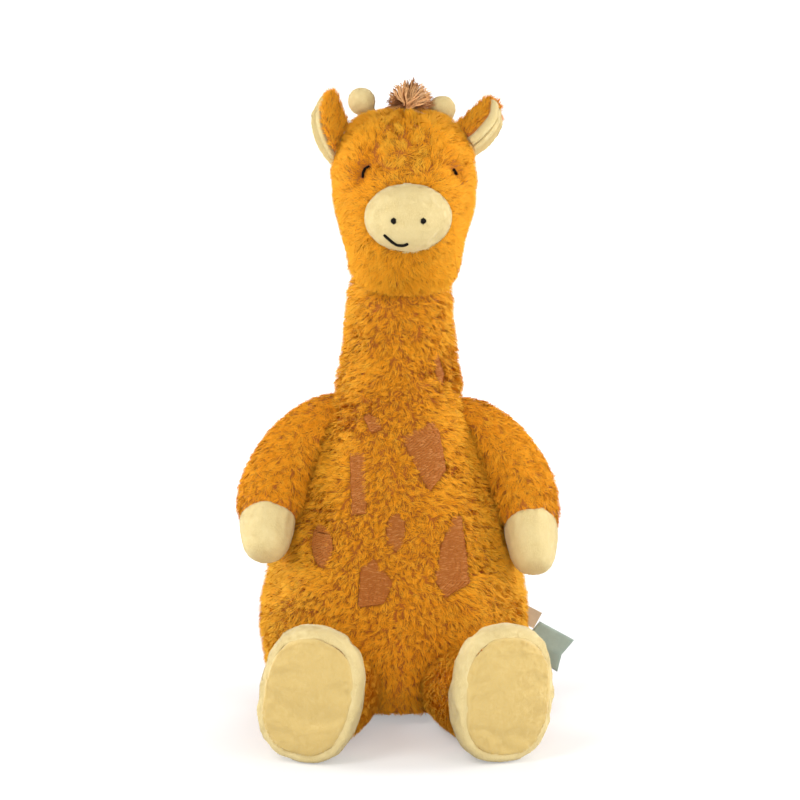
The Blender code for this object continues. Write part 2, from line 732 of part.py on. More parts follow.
def make_muzzle(head_block, head_tree, materials):
    """The cream muzzle with its nostrils and its lopsided smile."""
    back = head_direction(0, -1, 0)
    front = on_surface(head_tree, head_point(0, HEAD_DEPTH + MUZZLE_DEPTH, MUZZLE_RISE), back, 0)
    centre = front + back * MUZZLE_SINK
    radii = Vector((MUZZLE_WIDTH, MUZZLE_DEPTH, MUZZLE_HEIGHT)) / 2
    cap = ball("muzzle_form", Vector((0, 0, 0)), radii, MUZZLE_STEPS)
    cap.data.transform(Matrix.Translation(centre) @ Matrix.Rotation(HEAD_TURN, 4, "Z"))
    muzzle = carved(copied(cap, "muzzle", PARTS, materials["velboa"]), [head_block])
    tree = surface_of(muzzle)

    def on_muzzle(across_share, up_share, lift):
        across = head_direction(across_share * MUZZLE_WIDTH / 2, MUZZLE_DEPTH, up_share * MUZZLE_HEIGHT / 2)
        return on_surface(tree, centre + across, back, lift)

    pieces = [smooth(muzzle)]
    for side, sign in SIDES.items():
        across, up = NOSTRIL_SHARES
        place = on_muzzle(sign * across, up, GAP + THREAD / 2)
        radii = Vector((NOSTRIL_WIDTH, THREAD, NOSTRIL_HEIGHT)) / 2
        nostril = ball("nostril_form_" + side, place, radii, SMALL_BALL_STEPS)
        pieces.append(smooth(copied(nostril, "nostril_" + side, PARTS, materials["stitch"])))
    smile = [on_muzzle(across, up, GAP + THREAD) for across, up in SMILE_SHARES]
    pieces.append(stitched_line("smile", smile, materials["stitch"]))
    return pieces


def make_eyes(head_tree, materials):
    """Two embroidered arcs, each the other's mirror."""
    back = head_direction(0, -1, 0)
    eyes = []
    for side, sign in SIDES.items():
        points = []
        for out, up in EYE_ARC_SHARES:
            across = sign * (EYE_SPACING / 2 + out * EYE_SIZE)
            start = head_point(across, HEAD_DEPTH, EYE_RISE + up * EYE_SIZE)
            points.append(on_surface(head_tree, start, back, GAP + THREAD))
        eyes.append(stitched_line("eye_" + side, points, materials["stitch"]))
    return eyes


def make_ear(side, sign, head_block, head_tree, materials):
    """Fur back and velboa lining of one ear, a leaf folded along its middle."""
    out = head_direction(sign, 0, 0)
    rise = HEAD_HEIGHT - EAR_DROP[side]
    root = on_surface(head_tree, head_point(0, 0, rise), out, 0) - out * EAR_SINK
    along = head_direction(sign * sin(EAR_LEAN[side]), 0, cos(EAR_LEAN[side]))
    facing = head_direction(sign * sin(EAR_FACING), cos(EAR_FACING), 0)
    facing = (facing - along * facing.dot(along)).normalized()
    across = along.cross(facing) * sign
    seam = head_direction(sign * sin(EAR_SEAM), 0, -cos(EAR_SEAM))

    def leaf(name, width_share, length_share, thickness, offset, material):
        bm = bmesh.new()
        rows = []
        count = len(EAR_LEAF_SHARES) - 1
        for i, leaf_share in enumerate(EAR_LEAF_SHARES):
            half = leaf_share * width_share * EAR_WIDTH / 2
            reach = -EAR_ROOT + (EAR_LENGTH + EAR_ROOT) * length_share * i / count
            middle = root + along * reach
            row = []
            for step in EAR_ACROSS_SHARES:
                rise = abs(step) * half * sin(EAR_FOLD)
                row.append(bm.verts.new(middle + across * step * half * cos(EAR_FOLD) + facing * rise))
            rows.append(row)
        for low, high in zip(rows, rows[1:]):
            for i in range(len(low) - 1):
                bm.faces.new((low[i], low[i + 1], high[i + 1], high[i]))
        bmesh.ops.recalc_face_normals(bm, faces=bm.faces)
        if sum((face.normal.dot(facing) for face in bm.faces)) < 0:
            bmesh.ops.reverse_faces(bm, faces=bm.faces)
        mesh = bpy.data.meshes.new(name)
        bm.to_mesh(mesh)
        bm.free()
        obj = added(name, mesh, PARTS, material)
        modifier = obj.modifiers.new("cloth", "SOLIDIFY")
        modifier.thickness = thickness
        modifier.offset = offset
        return settled(obj)

    back = leaf("ear_back_" + side, 1, 1, EAR_CLOTH, -1, materials["fur"])
    velboa = materials["velboa"]
    lining = leaf("ear_lining_" + side, LINING_SHARE, LINING_LENGTH_SHARE, LINING_CLOTH, 1, velboa)
    lining.data.transform(Matrix.Translation(facing * GAP / cos(EAR_FOLD)))
    stop = swept("ear_" + side, head_block, root, seam, (-EAR_FLEX, 0, EAR_FLEX))
    for piece in (back, lining):
        carved(piece, [stop])
    return root, seam, [smooth(back), smooth(lining)]


def make_ossicone(side, sign, head_block, head_tree, materials):
    """A cream knob on a stalk, turned as one profile."""
    knob = KNOB_WIDTH / 2
    stalk = STALK_WIDTH / 2
    neck = OSSICONE_HEIGHT - knob - sqrt(knob**2 - stalk**2)
    profile = [(0, OSSICONE_HEIGHT)]
    turns = between(*KNOB_ARC, KNOB_POINTS)
    profile += [(knob * cos(a), OSSICONE_HEIGHT - knob + knob * sin(a)) for a in turns]
    profile += [(stalk, neck), (stalk, -STALK_ROOT), (0, -STALK_ROOT)]
    mesh = bpy.data.meshes.new("ossicone_" + side)
    mesh.from_pydata([(x, 0, z) for x, z in profile], [(i, i + 1) for i in range(len(profile) - 1)], [])
    obj = added(mesh.name, mesh, PARTS, materials["velboa"])
    modifier = obj.modifiers.new("turned", "SCREW")
    modifier.steps = OSSICONE_STEPS
    modifier.render_steps = OSSICONE_STEPS
    modifier.use_merge_vertices = True
    modifier.merge_threshold = KNOB_WIDTH * MERGE_SHARE
    settled(obj)
    drop = OSSICONE_SINK + (LEFT_OSSICONE_DROP if sign > 0 else 0)
    above = head_point(sign * OSSICONE_SPACING / 2, -OSSICONE_BACK, HEAD_HEIGHT + OSSICONE_HEIGHT)
    base = on_surface(head_tree, above, -Z_AXIS, 0) - Z_AXIS * drop
    obj.data.transform(Matrix.Translation(base) @ Matrix.Rotation(sign * OSSICONE_LEAN, 4, "Y"))
    return smooth(carved(obj, [head_block]))


def make_crown_mane(head_block, materials):
    """The stringy tuft's core, along the middle of the head from crown to nape."""
    half_depth = HEAD_DEPTH * CROWN_DEPTH_SHARE
    middle_rise = HEAD_HEIGHT * CROWN_MIDDLE_SHARE
    half_rise = HEAD_HEIGHT - middle_rise
    points = []
    for angle in between(*CROWN_MANE_ANGLES, len(MANE_TAPER_SHARES)):
        back = half_depth * sin(angle)
        points.append(head_point(MANE_SHIFT, -back, middle_rise + half_rise * cos(angle)))
    radii = [share * MANE_WIDTH / 2 for share in MANE_TAPER_SHARES]
    form = sewn_tube("crown_mane_form", points, radii, TAIL_SIDES)
    return smooth(carved(copied(form, "mane_crown", PARTS, materials["mane"]), [head_block]))


def make_neck_mane(body_block, body_tree, materials):
    """The strip of mane down the neck's back seam."""
    points = []
    lift = MANE_HEIGHT * MANE_LIFT_SHARE
    top = NECK_JOINT_HEIGHT - NECK_MANE_DROP
    for height in between(top, top - NECK_MANE_LENGTH, len(MANE_TAPER_SHARES)):
        points.append(on_surface(body_tree, Vector((0, BELLY_DEPTH, height)), -Y_AXIS, lift))
    radii = [share * MANE_HEIGHT / 2 for share in MANE_TAPER_SHARES]
    form = sewn_tube("neck_mane_form", points, radii, TAIL_SIDES)
    return smooth(carved(copied(form, "mane_neck", PARTS, materials["mane"]), [body_block]))


def make_tail(body_tree, body_block, materials):
    """A soft tube from the back seam round to the right hip, and its tuft."""

    def beside(angle, lift):
        start = Vector((0, 0, TAIL_HEIGHT))
        outwards = Vector((cos(angle), sin(angle), 0))
        hit, normal, _, _ = body_tree.ray_cast(start + outwards * BELLY_WIDTH, -outwards)
        return hit + normal * lift

    half = TAIL_WIDTH / 2
    angles = between(*TAIL_ANGLES, TAIL_POINTS)
    lifts = between(*TAIL_LIFT_SHARES, TAIL_POINTS)
    points = [beside(angle, GAP + half * lift) for angle, lift in zip(angles, lifts)]
    radii = [half * TAIL_ROOT_SHARE] + [half] * (TAIL_POINTS - 1)
    tube = sewn_tube("tail_form", points, radii, TAIL_SIDES)
    tail = carved(copied(tube, "tail_tube", PARTS, materials["fur"]), [body_block])
    tuft_half = TUFT_WIDTH / 2
    turns = between(*TUFT_ANGLES, len(TUFT_SHARES))
    tuft_points = [beside(angle, GAP + tuft_half * TUFT_LIFT_SHARE) for angle in turns]
    tuft_form = sewn_tube("tuft_form", tuft_points, [share * tuft_half for share in TUFT_SHARES], TAIL_SIDES)
    room = grown(tube, "tail_room", GAP)
    tuft = carved(copied(tuft_form, "tail_tuft", PARTS, materials["mane"]), [body_block, room])
    return points[0], [smooth(tail), smooth(tuft)]


def make_labels(body_block, body_tree, materials):
    """Two bare labels sewn into the left side seam."""
    woven = ("label_woven", WOVEN_LABEL_WIDTH, WOVEN_LABEL_HEIGHT, WOVEN_LABEL_AT, WOVEN_LABEL_TURN, 0)
    side = SQUARE_LABEL_SIDE
    square = ("label_square", side, side, SQUARE_LABEL_AT, SQUARE_LABEL_TURN, LABEL_BACK)
    labels = []
    for name, width, height, at, turn, back in (woven, square):
        edge = on_surface(body_tree, Vector((BELLY_WIDTH, back, at)), -X_AXIS, 0)
        bm = bmesh.new()
        bmesh.ops.create_cube(bm, size=1)
        bm.transform(Matrix.Diagonal((width, LABEL_CLOTH, height, 1)))
        bm.transform(Matrix.Rotation(-turn, 4, "Y"))
        bm.transform(Matrix.Translation(edge + X_AXIS * width * LABEL_OUT_SHARE))
        mesh = bpy.data.meshes.new(name)
        bm.to_mesh(mesh)
        bm.free()
        material = materials["woven" if name == "label_woven" else "square"]
        labels.append(carved(added(name, mesh, PARTS, material), [body_block]))
    return labels


def hung(pieces, pivot, name):
    """The pieces of one moving body, with their origins and their parent empty at its joint."""
    empty = bpy.data.objects.new(name, None)
    empty.location = pivot
    bpy.data.collections[PARTS].objects.link(empty)
    for piece in pieces:
        piece.data.transform(Matrix.Translation(-pivot))
        piece.parent = empty
    return empty


def held(empty, parent, pivot, parent_pivot):
    """One joint's empty carried by another's."""
    empty.parent = parent
    empty.location = pivot - parent_pivot


def build():
    clear_scene()
    materials = make_materials()

    body_form = make_body_form()
    body_tree = surface_of(body_form)
    body_block = grown(stood(copied(body_form, "body_outer")), "body_block", GAP)
    head_form = make_head_form()
    head_tree = surface_of(head_form)
    head_block = grown(head_form, "head_block", GAP)

    skin, stuffing, pellets = make_body(body_form, materials)
    sockets = []
    limbs = {}
    for side, sign in SIDES.items():
        limbs["arm", side] = make_arm(side, sign, body_block, materials)
        limbs["leg", side] = make_leg(side, sign, body_block, materials)
        sockets.append(socket(f"arm_{side}", limbs["arm", side][0], SHOULDER_WIDTH))
        sockets.append(socket(f"leg_{side}", limbs["leg", side][0], HIP_WIDTH))
    for piece in (skin, stuffing):
        smooth(carved(piece, sockets))

    torso = [skin, stuffing, pellets]
    torso += make_spots(body_tree, materials["patch"])
    torso.append(make_neck_mane(body_block, body_tree, materials))
    torso += make_labels(body_block, body_tree, materials)
    seat = Vector((0, 0, 0))
    torso_empty = hung(torso, seat, "torso")

    head = make_head(head_form, materials)
    head += make_muzzle(head_block, head_tree, materials)
    head += make_eyes(head_tree, materials)
    head += [make_ossicone(side, sign, head_block, head_tree, materials) for side, sign in SIDES.items()]
    head.append(make_crown_mane(head_block, materials))
    for piece in head:
        smooth(piece)
    head_empty = hung(head, NECK_JOINT, "head")
    held(head_empty, torso_empty, NECK_JOINT, seat)

    for side, sign in SIDES.items():
        root, seam, pieces = make_ear(side, sign, head_block, head_tree, materials)
        held(hung(pieces, root, "ear_" + side), head_empty, root, NECK_JOINT)
        print(f"ear_{side} hinge at {tuple(root)} along {tuple(seam)}")
    for (limb, side), (pivot, pieces) in limbs.items():
        for piece in pieces:
            smooth(piece)
        held(hung(pieces, pivot, f"{limb}_{side}"), torso_empty, pivot, seat)
    root, pieces = make_tail(body_tree, body_block, materials)
    held(hung(pieces, root, "tail"), torso_empty, root, seat)
    print(f"tail hinge at {tuple(root)}")


build()
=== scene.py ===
"""Dresses the plush giraffe: stuffed cloth forms, fur, velboa, embroidery, labels and the stage."""

import json
from math import cos, pi, radians, sin, sqrt

import bmesh
import bpy
import numpy as np
from bpy.props import FloatProperty, FloatVectorProperty, IntProperty, PointerProperty
from mathutils import Matrix, Vector
from mathutils.bvhtree import BVHTree
from mathutils.kdtree import KDTree

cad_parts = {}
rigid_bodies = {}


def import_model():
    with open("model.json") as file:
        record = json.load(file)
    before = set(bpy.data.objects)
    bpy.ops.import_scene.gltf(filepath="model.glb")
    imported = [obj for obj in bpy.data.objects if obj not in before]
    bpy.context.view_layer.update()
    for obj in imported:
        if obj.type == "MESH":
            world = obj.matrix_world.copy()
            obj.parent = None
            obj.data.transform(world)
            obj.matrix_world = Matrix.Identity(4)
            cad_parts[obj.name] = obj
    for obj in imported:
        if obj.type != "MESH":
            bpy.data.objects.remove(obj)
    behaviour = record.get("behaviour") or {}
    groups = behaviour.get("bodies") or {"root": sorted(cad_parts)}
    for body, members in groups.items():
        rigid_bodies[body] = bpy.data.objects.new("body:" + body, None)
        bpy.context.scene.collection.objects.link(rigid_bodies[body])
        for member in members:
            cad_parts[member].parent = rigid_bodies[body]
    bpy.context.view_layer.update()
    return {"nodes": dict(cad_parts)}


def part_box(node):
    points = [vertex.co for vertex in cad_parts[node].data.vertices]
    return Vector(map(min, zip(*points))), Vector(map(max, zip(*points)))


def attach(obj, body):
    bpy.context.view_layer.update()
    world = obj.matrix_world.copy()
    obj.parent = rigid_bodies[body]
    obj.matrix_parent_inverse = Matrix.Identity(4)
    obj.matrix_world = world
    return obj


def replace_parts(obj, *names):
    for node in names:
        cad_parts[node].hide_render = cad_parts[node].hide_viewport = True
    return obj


bl_info = {
    "name": "Plush giraffe",
    "version": (1, 0, 0),
    "blender": (4, 5, 0),
    "location": "View3D > Sidebar > Giraffe",
    "description": "Builds the cloth, fur and stitching of a seated plush giraffe",
    "category": "Object",
}

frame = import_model()
SIDES = {"left": 1, "right": -1}
MM = 0.001


def linear(colour):
    """Linear red, green and blue of an sRGB hex colour."""
    shares = (int(colour[i : i + 2], 16) / 255 for i in (0, 2, 4))
    return tuple(s / 12.92 if s <= 0.04045 else ((s + 0.055) / 1.055) ** 2.4 for s in shares)


# Sizes and colours


def length(name, description, default):
    return FloatProperty(name=name, description=description, default=default, min=0, unit="LENGTH")


def number(name, description, default, kind=FloatProperty, **limits):
    return kind(name=name, description=description, default=default, **limits)


def colour(name, description, default):
    return FloatVectorProperty(
        name=name, description=description, default=linear(default), size=3, min=0, max=1, subtype="COLOR"
    )


class GiraffeSizes(bpy.types.PropertyGroup):
    """Lengths of the cloth, fur and thread."""

    pile: length("Pile", "Length of a fur strand", 6.6 * MM)
    strand: length("Strand", "Width of a fur strand at its root", 0.23 * MM)
    backing: length("Backing", "How deep the fur's backing lies in the part's skin", 1.0 * MM)
    tuft: length("Tuft", "Distance between the middles of two tufts of fur", 1.7 * MM)
    nap: length("Nap", "Length of a velboa strand", 1.4 * MM)
    mane: length("Mane", "Length of a strand of the mane", 10.5 * MM)
    thread: length("Thread", "Width of an embroidery thread", 0.42 * MM)
    swell: length("Swell", "How far the stuffing may push the cloth out", 1.6 * MM)
    voxel: length("Voxel", "Width of the cloth's faces", 3.2 * MM)
    fullness: number("Fullness", "How tightly the toy is stuffed", 0.75, min=0, max=1, subtype="FACTOR")
    density: number("Density", "Fur strands in a square millimetre", 3.7, min=0.1, max=4)
    nap_density: number("Nap density", "Velboa strands in a square millimetre", 3.2, min=0.1, max=6)
    settle: number("Settle", "Steps in which the stuffing fills the cloth", 16, IntProperty)


class GiraffeColours(bpy.types.PropertyGroup):
    """Colours of the cloths, threads and stage."""

    # The darkest strands also take the painted shade of the lumps' rims and the eyes' hollows
    fur_shade: colour("Fur in shade", "Darkest fur strands", "d07a0c")
    fur: colour("Fur", "Most of the fur strands", "ffa922")
    fur_light: colour("Light fur", "Lightest fur strands", "ffc440")
    # A real knitted backing, whose dark colour is painted shade deep in the pile
    backing: colour("Backing", "Knitted backing between the strands", "b8680f")
    cream: colour("Cream", "Short-pile cloth of muzzle, hands and feet", "e4d097")
    cream_light: colour("Light cream", "Lightest strands of the short pile", "ecdcaa")
    cream_shade: colour("Cream in shade", "Darkest strands of the short pile", "d8c184")
    # The soles' velboa is drawn a little darker and deeper in colour than the cream
    sole: colour("Sole", "Short-pile cloth of the soles, whose pile lies the other way", "dabd77")
    spot: colour("Spot", "Brown thread of the spots", "b0682d")
    spot_light: colour("Light spot", "Brown thread where it catches light", "d08c4e")
    stitch: colour("Stitch", "Black thread of the face", "17130f")
    mane: colour("Mane", "Brown yarn of the mane", "e2aa70")
    mane_light: colour("Light mane", "Lightest yarn of the mane", "f2c79c")
    mane_shade: colour("Mane in shade", "Darkest yarn of the mane", "b87f4e")
    label: colour("Label", "Square cloth label", "9fb0a3")
    tape: colour("Tape", "Woven side label", "cfb99a")
    stage: colour("Stage", "Floor and backdrop", "d9d9d9")


def sizes():
    return bpy.context.scene.giraffe_sizes


# Meshes


def added(name, mesh, material=None):
    """A new object of that mesh, lamp or camera."""
    obj = bpy.data.objects.new(name, mesh)
    bpy.context.scene.collection.objects.link(obj)
    if material:
        mesh.materials.append(material)
    return obj


def written(bm, mesh):
    """The mesh with the edited geometry, which is then freed."""
    bm.to_mesh(mesh)
    bm.free()
    return mesh


def object_named(name):
    if name not in bpy.data.objects:
        raise ValueError(f"{name} has to be made first")
    return bpy.data.objects[name]


def settled(obj):
    """The object with its modifiers made part of its mesh."""
    graph = bpy.context.evaluated_depsgraph_get()
    mesh = bpy.data.meshes.new_from_object(obj.evaluated_get(graph))
    old = obj.data
    obj.modifiers.clear()
    obj.data = mesh
    mesh.name = obj.name
    bpy.data.meshes.remove(old)
    return obj


def modified(obj, kind, **settings):
    """The object after one modifier."""
    modifier = obj.modifiers.new(kind.lower(), kind)
    for name, value in settings.items():
        setattr(modifier, name, value)
    return settled(obj)


def rounded(obj):
    return modified(obj, "SUBSURF", levels=1, render_levels=1)


def largest(obj):
    """Keeps the largest of the object's separate shells."""
    bm = bmesh.new()
    bm.from_mesh(obj.data)
    left = set(bm.verts)
    shells = []
    while left:
        start = left.pop()
        shell = {start}
        front = [start]
        while front:
            vert = front.pop()
            for edge in vert.link_edges:
                other = edge.other_vert(vert)
                if other in left:
                    left.discard(other)
                    shell.add(other)
                    front.append(other)
        shells.append(shell)
    shells.sort(key=len)
    for shell in shells[:-1]:
        bmesh.ops.delete(bm, geom=list(shell), context="VERTS")
    written(bm, obj.data)
    return obj


def rows_of(items, name):
    """The items' vectors of that name as rows of x, y and z."""
    rows = np.empty(len(items) * 3)
    items.foreach_get(name, rows)
    return rows.reshape(-1, 3)


def points_of(obj):
    return rows_of(obj.data.vertices, "co")


def normals_of(obj):
    return rows_of(obj.data.vertex_normals, "vector")


def placed(obj, places):
    obj.data.vertices.foreach_set("co", np.asarray(places, float).ravel())
    obj.data.update()


def lifted(places, height):
    """Raises the places that lie lower than that height."""
    places[..., 2] = np.maximum(places[..., 2], height)
    return places


def smooth(mesh):
    mesh.polygons.foreach_set("use_smooth", [True] * len(mesh.polygons))


def tree_of(*objects):
    """One search tree over the faces of those objects, each given by itself or by its name."""
    places = []
    faces = []
    for obj in objects:
        mesh = (object_named(obj) if isinstance(obj, str) else obj).data
        start = len(places)
        places += [tuple(v.co) for v in mesh.vertices]
        faces += [[start + i for i in face.vertices] for face in mesh.polygons]
    return BVHTree.FromPolygons(places, faces)


def cad_tree(*nodes):
    return tree_of(*(frame["nodes"][node] for node in nodes))


def distances(tree, places, far=0.02):
    """Distance of each place to the tree, or far where it is further off."""
    found = [tree.find_nearest(place, far)[3] for place in places.tolist()]
    return np.array([far if d is None else d for d in found])


def unit(rows):
    return rows / np.maximum(np.linalg.norm(rows, axis=-1, keepdims=True), 1e-12)


RIPPLE_WAVES = 6
RIPPLE_SPREAD = (0.7, 1.5)


def ripple(places, wave, seed):
    """A smooth value between -1 and 1 at each place, which comes and goes over that wavelength."""
    rng = np.random.default_rng(seed)
    total = np.zeros(len(places))
    for _ in range(RIPPLE_WAVES):
        way = rng.normal(size=3)
        way *= 2 * pi / (wave * rng.uniform(*RIPPLE_SPREAD) * np.linalg.norm(way))
        total += np.sin(places @ way + rng.uniform(0, 2 * pi))
    return total / sqrt(RIPPLE_WAVES)


def form(name, nodes, voxel, smoothing=2):
    """A closed, evenly meshed form that fills those CAD nodes."""
    bm = bmesh.new()
    for node_name in nodes:
        bm.from_mesh(frame["nodes"][node_name].data)
    bmesh.ops.remove_doubles(bm, verts=bm.verts, dist=WELD)
    obj = added(name, written(bm, bpy.data.meshes.new(name)))
    largest(modified(obj, "REMESH", mode="VOXEL", voxel_size=voxel))
    return modified(obj, "SMOOTH", factor=0.5, iterations=smoothing)


WELD = 0.01 * MM
# Springy cloth under the light pressure of its stuffing
CLOTH = {"quality": 5, "mass": 0.05, "use_pressure": True, "uniform_pressure_force": 4, "shrink_min": -0.02}


def stuffed(obj, cap, seams=None):
    """Lets the stuffing push the cloth out, at most by the cap; seam vertices stay where they are."""
    rest = points_of(obj)
    cloth = obj.modifiers.new("cloth", "CLOTH")
    for name, value in CLOTH.items():
        setattr(cloth.settings, name, value)
    cloth.settings.effector_weights.gravity = 0
    cloth.collision_settings.use_collision = False
    if seams is not None and seams.any():
        group = obj.vertex_groups.new(name="seams")
        group.add([int(i) for i in np.flatnonzero(seams)], 1, "REPLACE")
        cloth.settings.vertex_group_mass = "seams"
    cloth.point_cache.frame_start = 1
    cloth.point_cache.frame_end = sizes().settle
    for step in range(1, sizes().settle + 1):
        bpy.context.scene.frame_set(step)
    settled(obj)
    bpy.context.scene.frame_set(1)
    obj.vertex_groups.clear()
    moved = points_of(obj) - rest
    reach = np.linalg.norm(moved, axis=1, keepdims=True)
    placed(obj, rest + moved * np.minimum(1, cap / np.maximum(reach, 1e-9)))


def shrunk(obj, depth):
    """The form with its surface that much deeper."""
    return modified(obj, "DISPLACE", direction="NORMAL", mid_level=0, strength=-depth)


# Materials


def node(material, kind, links=(), **settings):
    """Adds a node, sets its values and joins its inputs to the outputs given."""
    tree = material.node_tree
    made = tree.nodes.new(kind)
    for name, value in settings.items():
        if name in made.inputs:
            made.inputs[name].default_value = value
        else:
            setattr(made, name, value)
    for name, output in links:
        tree.links.new(output, made.inputs[name])
    return made


def link(material, output, socket):
    material.node_tree.links.new(output, socket)


SHEEN_ROUGHNESS = 0.5
FIBRE_SPECULAR = 0.06
FIBRE_IOR = 1.53


def shader(name, roughness, sheen, **settings):
    """A material with one shader and its output."""
    material = bpy.data.materials.new(name)
    material.use_nodes = True
    principled = material.node_tree.nodes["Principled BSDF"]
    values = {"Roughness": roughness, "Sheen Weight": sheen, "Sheen Roughness": SHEEN_ROUGHNESS}
    for socket, value in {**values, "IOR": FIBRE_IOR, **settings}.items():
        principled.inputs[socket].default_value = value
    return material, principled


def ramp(material, factor, stops):
    """A colour ramp fed by that output; stops are (place, linear colour)."""
    made = node(material, "ShaderNodeValToRGB", [("Fac", factor)])
    elements = made.color_ramp.elements
    elements[0].position, elements[-1].position = stops[0][0], stops[-1][0]
    elements[0].color, elements[-1].color = (*stops[0][1], 1), (*stops[-1][1], 1)
    for place, tint in stops[1:-1]:
        elements.new(place).color = (*tint, 1)
    return made.outputs["Color"]


# Sockets of a colour mix: both colours, and the result
MIX_A, MIX_B, MIX_RESULT = 6, 7, 2
# Where the ramps' ends lie, and where the painted shade at a strand's root ends along it
SHADE_STOPS = (0.05, 0.5, 0.95)
ROOT_PAINTED_SHADE_END = 0.75


def strand_material(name, shades, root, roughness, sheen):
    """Fibre whose shade lies along the map's width, and whose root is darker than its tip with painted shade
    deep in the pile.
    """
    glow = {"Sheen Tint": (*shades[-1], 1), "Specular IOR Level": FIBRE_SPECULAR}
    material, principled = shader(name, roughness, sheen, **glow)
    uv = node(material, "ShaderNodeUVMap", uv_map="OFBake")
    parts = node(material, "ShaderNodeSeparateXYZ", [("Vector", uv.outputs["UV"])]).outputs
    shade = ramp(material, parts["X"], list(zip(SHADE_STOPS, shades)))
    # Painted shade: each strand darkens towards its root
    along = ramp(material, parts["Y"], [(0.0, (root,) * 3), (ROOT_PAINTED_SHADE_END, (1, 1, 1))])
    links = [(MIX_A, shade), (MIX_B, along)]
    mixed = node(material, "ShaderNodeMix", links, data_type="RGBA", blend_type="MULTIPLY", Factor=1)
    link(material, mixed.outputs[MIX_RESULT], principled.inputs["Base Color"])
    return material


# Size of the patches in which the cloth's tone changes, and height of its grain
MOTTLE = 7 * MM
MOTTLE_STOPS = (0.3, 0.7)
GRAIN_HEIGHT = 0.3 * MM


def cloth_material(name, shades, grain, bump, roughness, sheen):
    """Knitted or woven ground whose tone changes over a few millimetres, with a fine grain."""
    material, principled = shader(name, roughness, sheen)
    place = [("Vector", node(material, "ShaderNodeTexCoord").outputs["Object"])]
    coarse = node(material, "ShaderNodeTexNoise", place, Scale=1 / MOTTLE, Detail=3.0)
    tone = ramp(material, coarse.outputs["Fac"], list(zip(MOTTLE_STOPS, shades)))
    link(material, tone, principled.inputs["Base Color"])
    fine = node(material, "ShaderNodeTexNoise", place, Scale=1 / grain, Detail=2.0)
    height = [("Height", fine.outputs["Fac"])]
    raised = node(material, "ShaderNodeBump", height, Strength=bump, Distance=GRAIN_HEIGHT)
    link(material, raised.outputs["Normal"], principled.inputs["Normal"])
    return material


def pile_of(slot, tints, root, roughness, sheen):
    return strand_material, slot, tints, {"root": root, "roughness": roughness, "sheen": sheen}


def cloth_of(slot, tints, grain, bump, roughness, sheen):
    values = {"grain": grain * MM, "bump": bump, "roughness": roughness, "sheen": sheen}
    return cloth_material, slot, tints, values


# Each finish: the record's slot, its colours from dark to light, each with a share where it is darkened, and
# its values. A pile has the painted shade at its root, its roughness and its sheen, and a cloth has the width
# of its grain in millimetres, the grain's strength, its roughness and its sheen
FINISHES = {
    # Long-pile knitted polyester fur: dull fibre that glows softly where light skims it
    "acrylic_fur_long_pile": pile_of("orange_plush", ("fur_shade", "fur", "fur_light"), 0.75, 0.65, 1.0),
    # The fur's knitted backing, coloured dark as painted shade deep in the pile: only seen as dark orange
    # between the tufts
    "knitted_fur_backing": cloth_of("orange_plush", (("backing", 0.8), "backing"), 0.8, 0.5, 0.9, 0.1),
    # Velboa, a sheared short-pile knit: matt cream with a soft bloom at grazing angles
    "velboa_sheared_pile": pile_of("cream_velboa", ("cream_shade", "cream", "cream_light"), 0.97, 0.75, 0.15),
    # The same velboa in the soles' colour, a little darker and deeper
    "velboa_sole_pile": pile_of("cream_velboa", (("sole", 0.93), "sole", ("sole", 1.04)), 1, 0.75, 0.1),
    # The knit under the velboa's pile
    "velboa_ground": cloth_of("cream_velboa", ("cream_shade", "cream"), 0.6, 0.5, 0.85, 0.3),
    # The same knit under the soles' pile, in the soles' colour
    "velboa_sole_ground": cloth_of("cream_velboa", (("sole", 0.95), "sole"), 0.6, 0.5, 0.85, 0.3),
    # Brushed brown yarn: loose, slightly shiny strings
    "brushed_mane_yarn": pile_of("brown_yarn", ("mane_shade", "mane", "mane_light"), 0.85, 0.55, 0.2),
    # Felted yarn under the mane's loose strings
    "brushed_mane_core": cloth_of("brown_yarn", ("mane_shade", "mane"), 0.9, 0.6, 0.8, 0.1),
    # Rayon embroidery thread in fill stitch: rows of silky brown ridges
    "rayon_thread_brown": pile_of("brown_embroidery", ("spot", "spot", "spot_light"), 0.8, 0.42, 0.1),
    # Rayon embroidery thread in satin stitch: close black bars with a thin gloss
    "rayon_thread_black": pile_of("black_thread", ("stitch", "stitch", "stitch"), 1.0, 0.35, 0.05),
    # Plain-woven satin ribbon of the square label: its weave is too fine to show, so slubs are drawn instead
    "woven_satin_label": cloth_of("grey_green_label", (("label", 0.8), "label"), 1.0, 0.3, 0.5, 0.1),
    # Taffeta-woven tape of the side label
    "woven_taffeta_tape": cloth_of("woven_label", (("tape", 0.8), "tape"), 1.0, 0.4, 0.6, 0.1),
}


def material_named(name):
    """The finish of that name, made the first time that it is asked for."""
    if name in bpy.data.materials:
        return bpy.data.materials[name]
    kind, _, tints, values = FINISHES[name]
    pairs = [(tint, 1) if isinstance(tint, str) else tint for tint in tints]
    colours = bpy.context.scene.giraffe_colours
    shades = [tuple(channel * share for channel in getattr(colours, tint)) for tint, share in pairs]
    return kind(name, shades, **values)


def carried(obj, body):
    """Lets the piece ride on its body."""
    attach(obj, body)
    return obj


# Strands and threads

# Margin of the bake map, and half the map's width that one strand takes
MAP_EDGE = 0.02
SHADE_WIDTH = 0.008


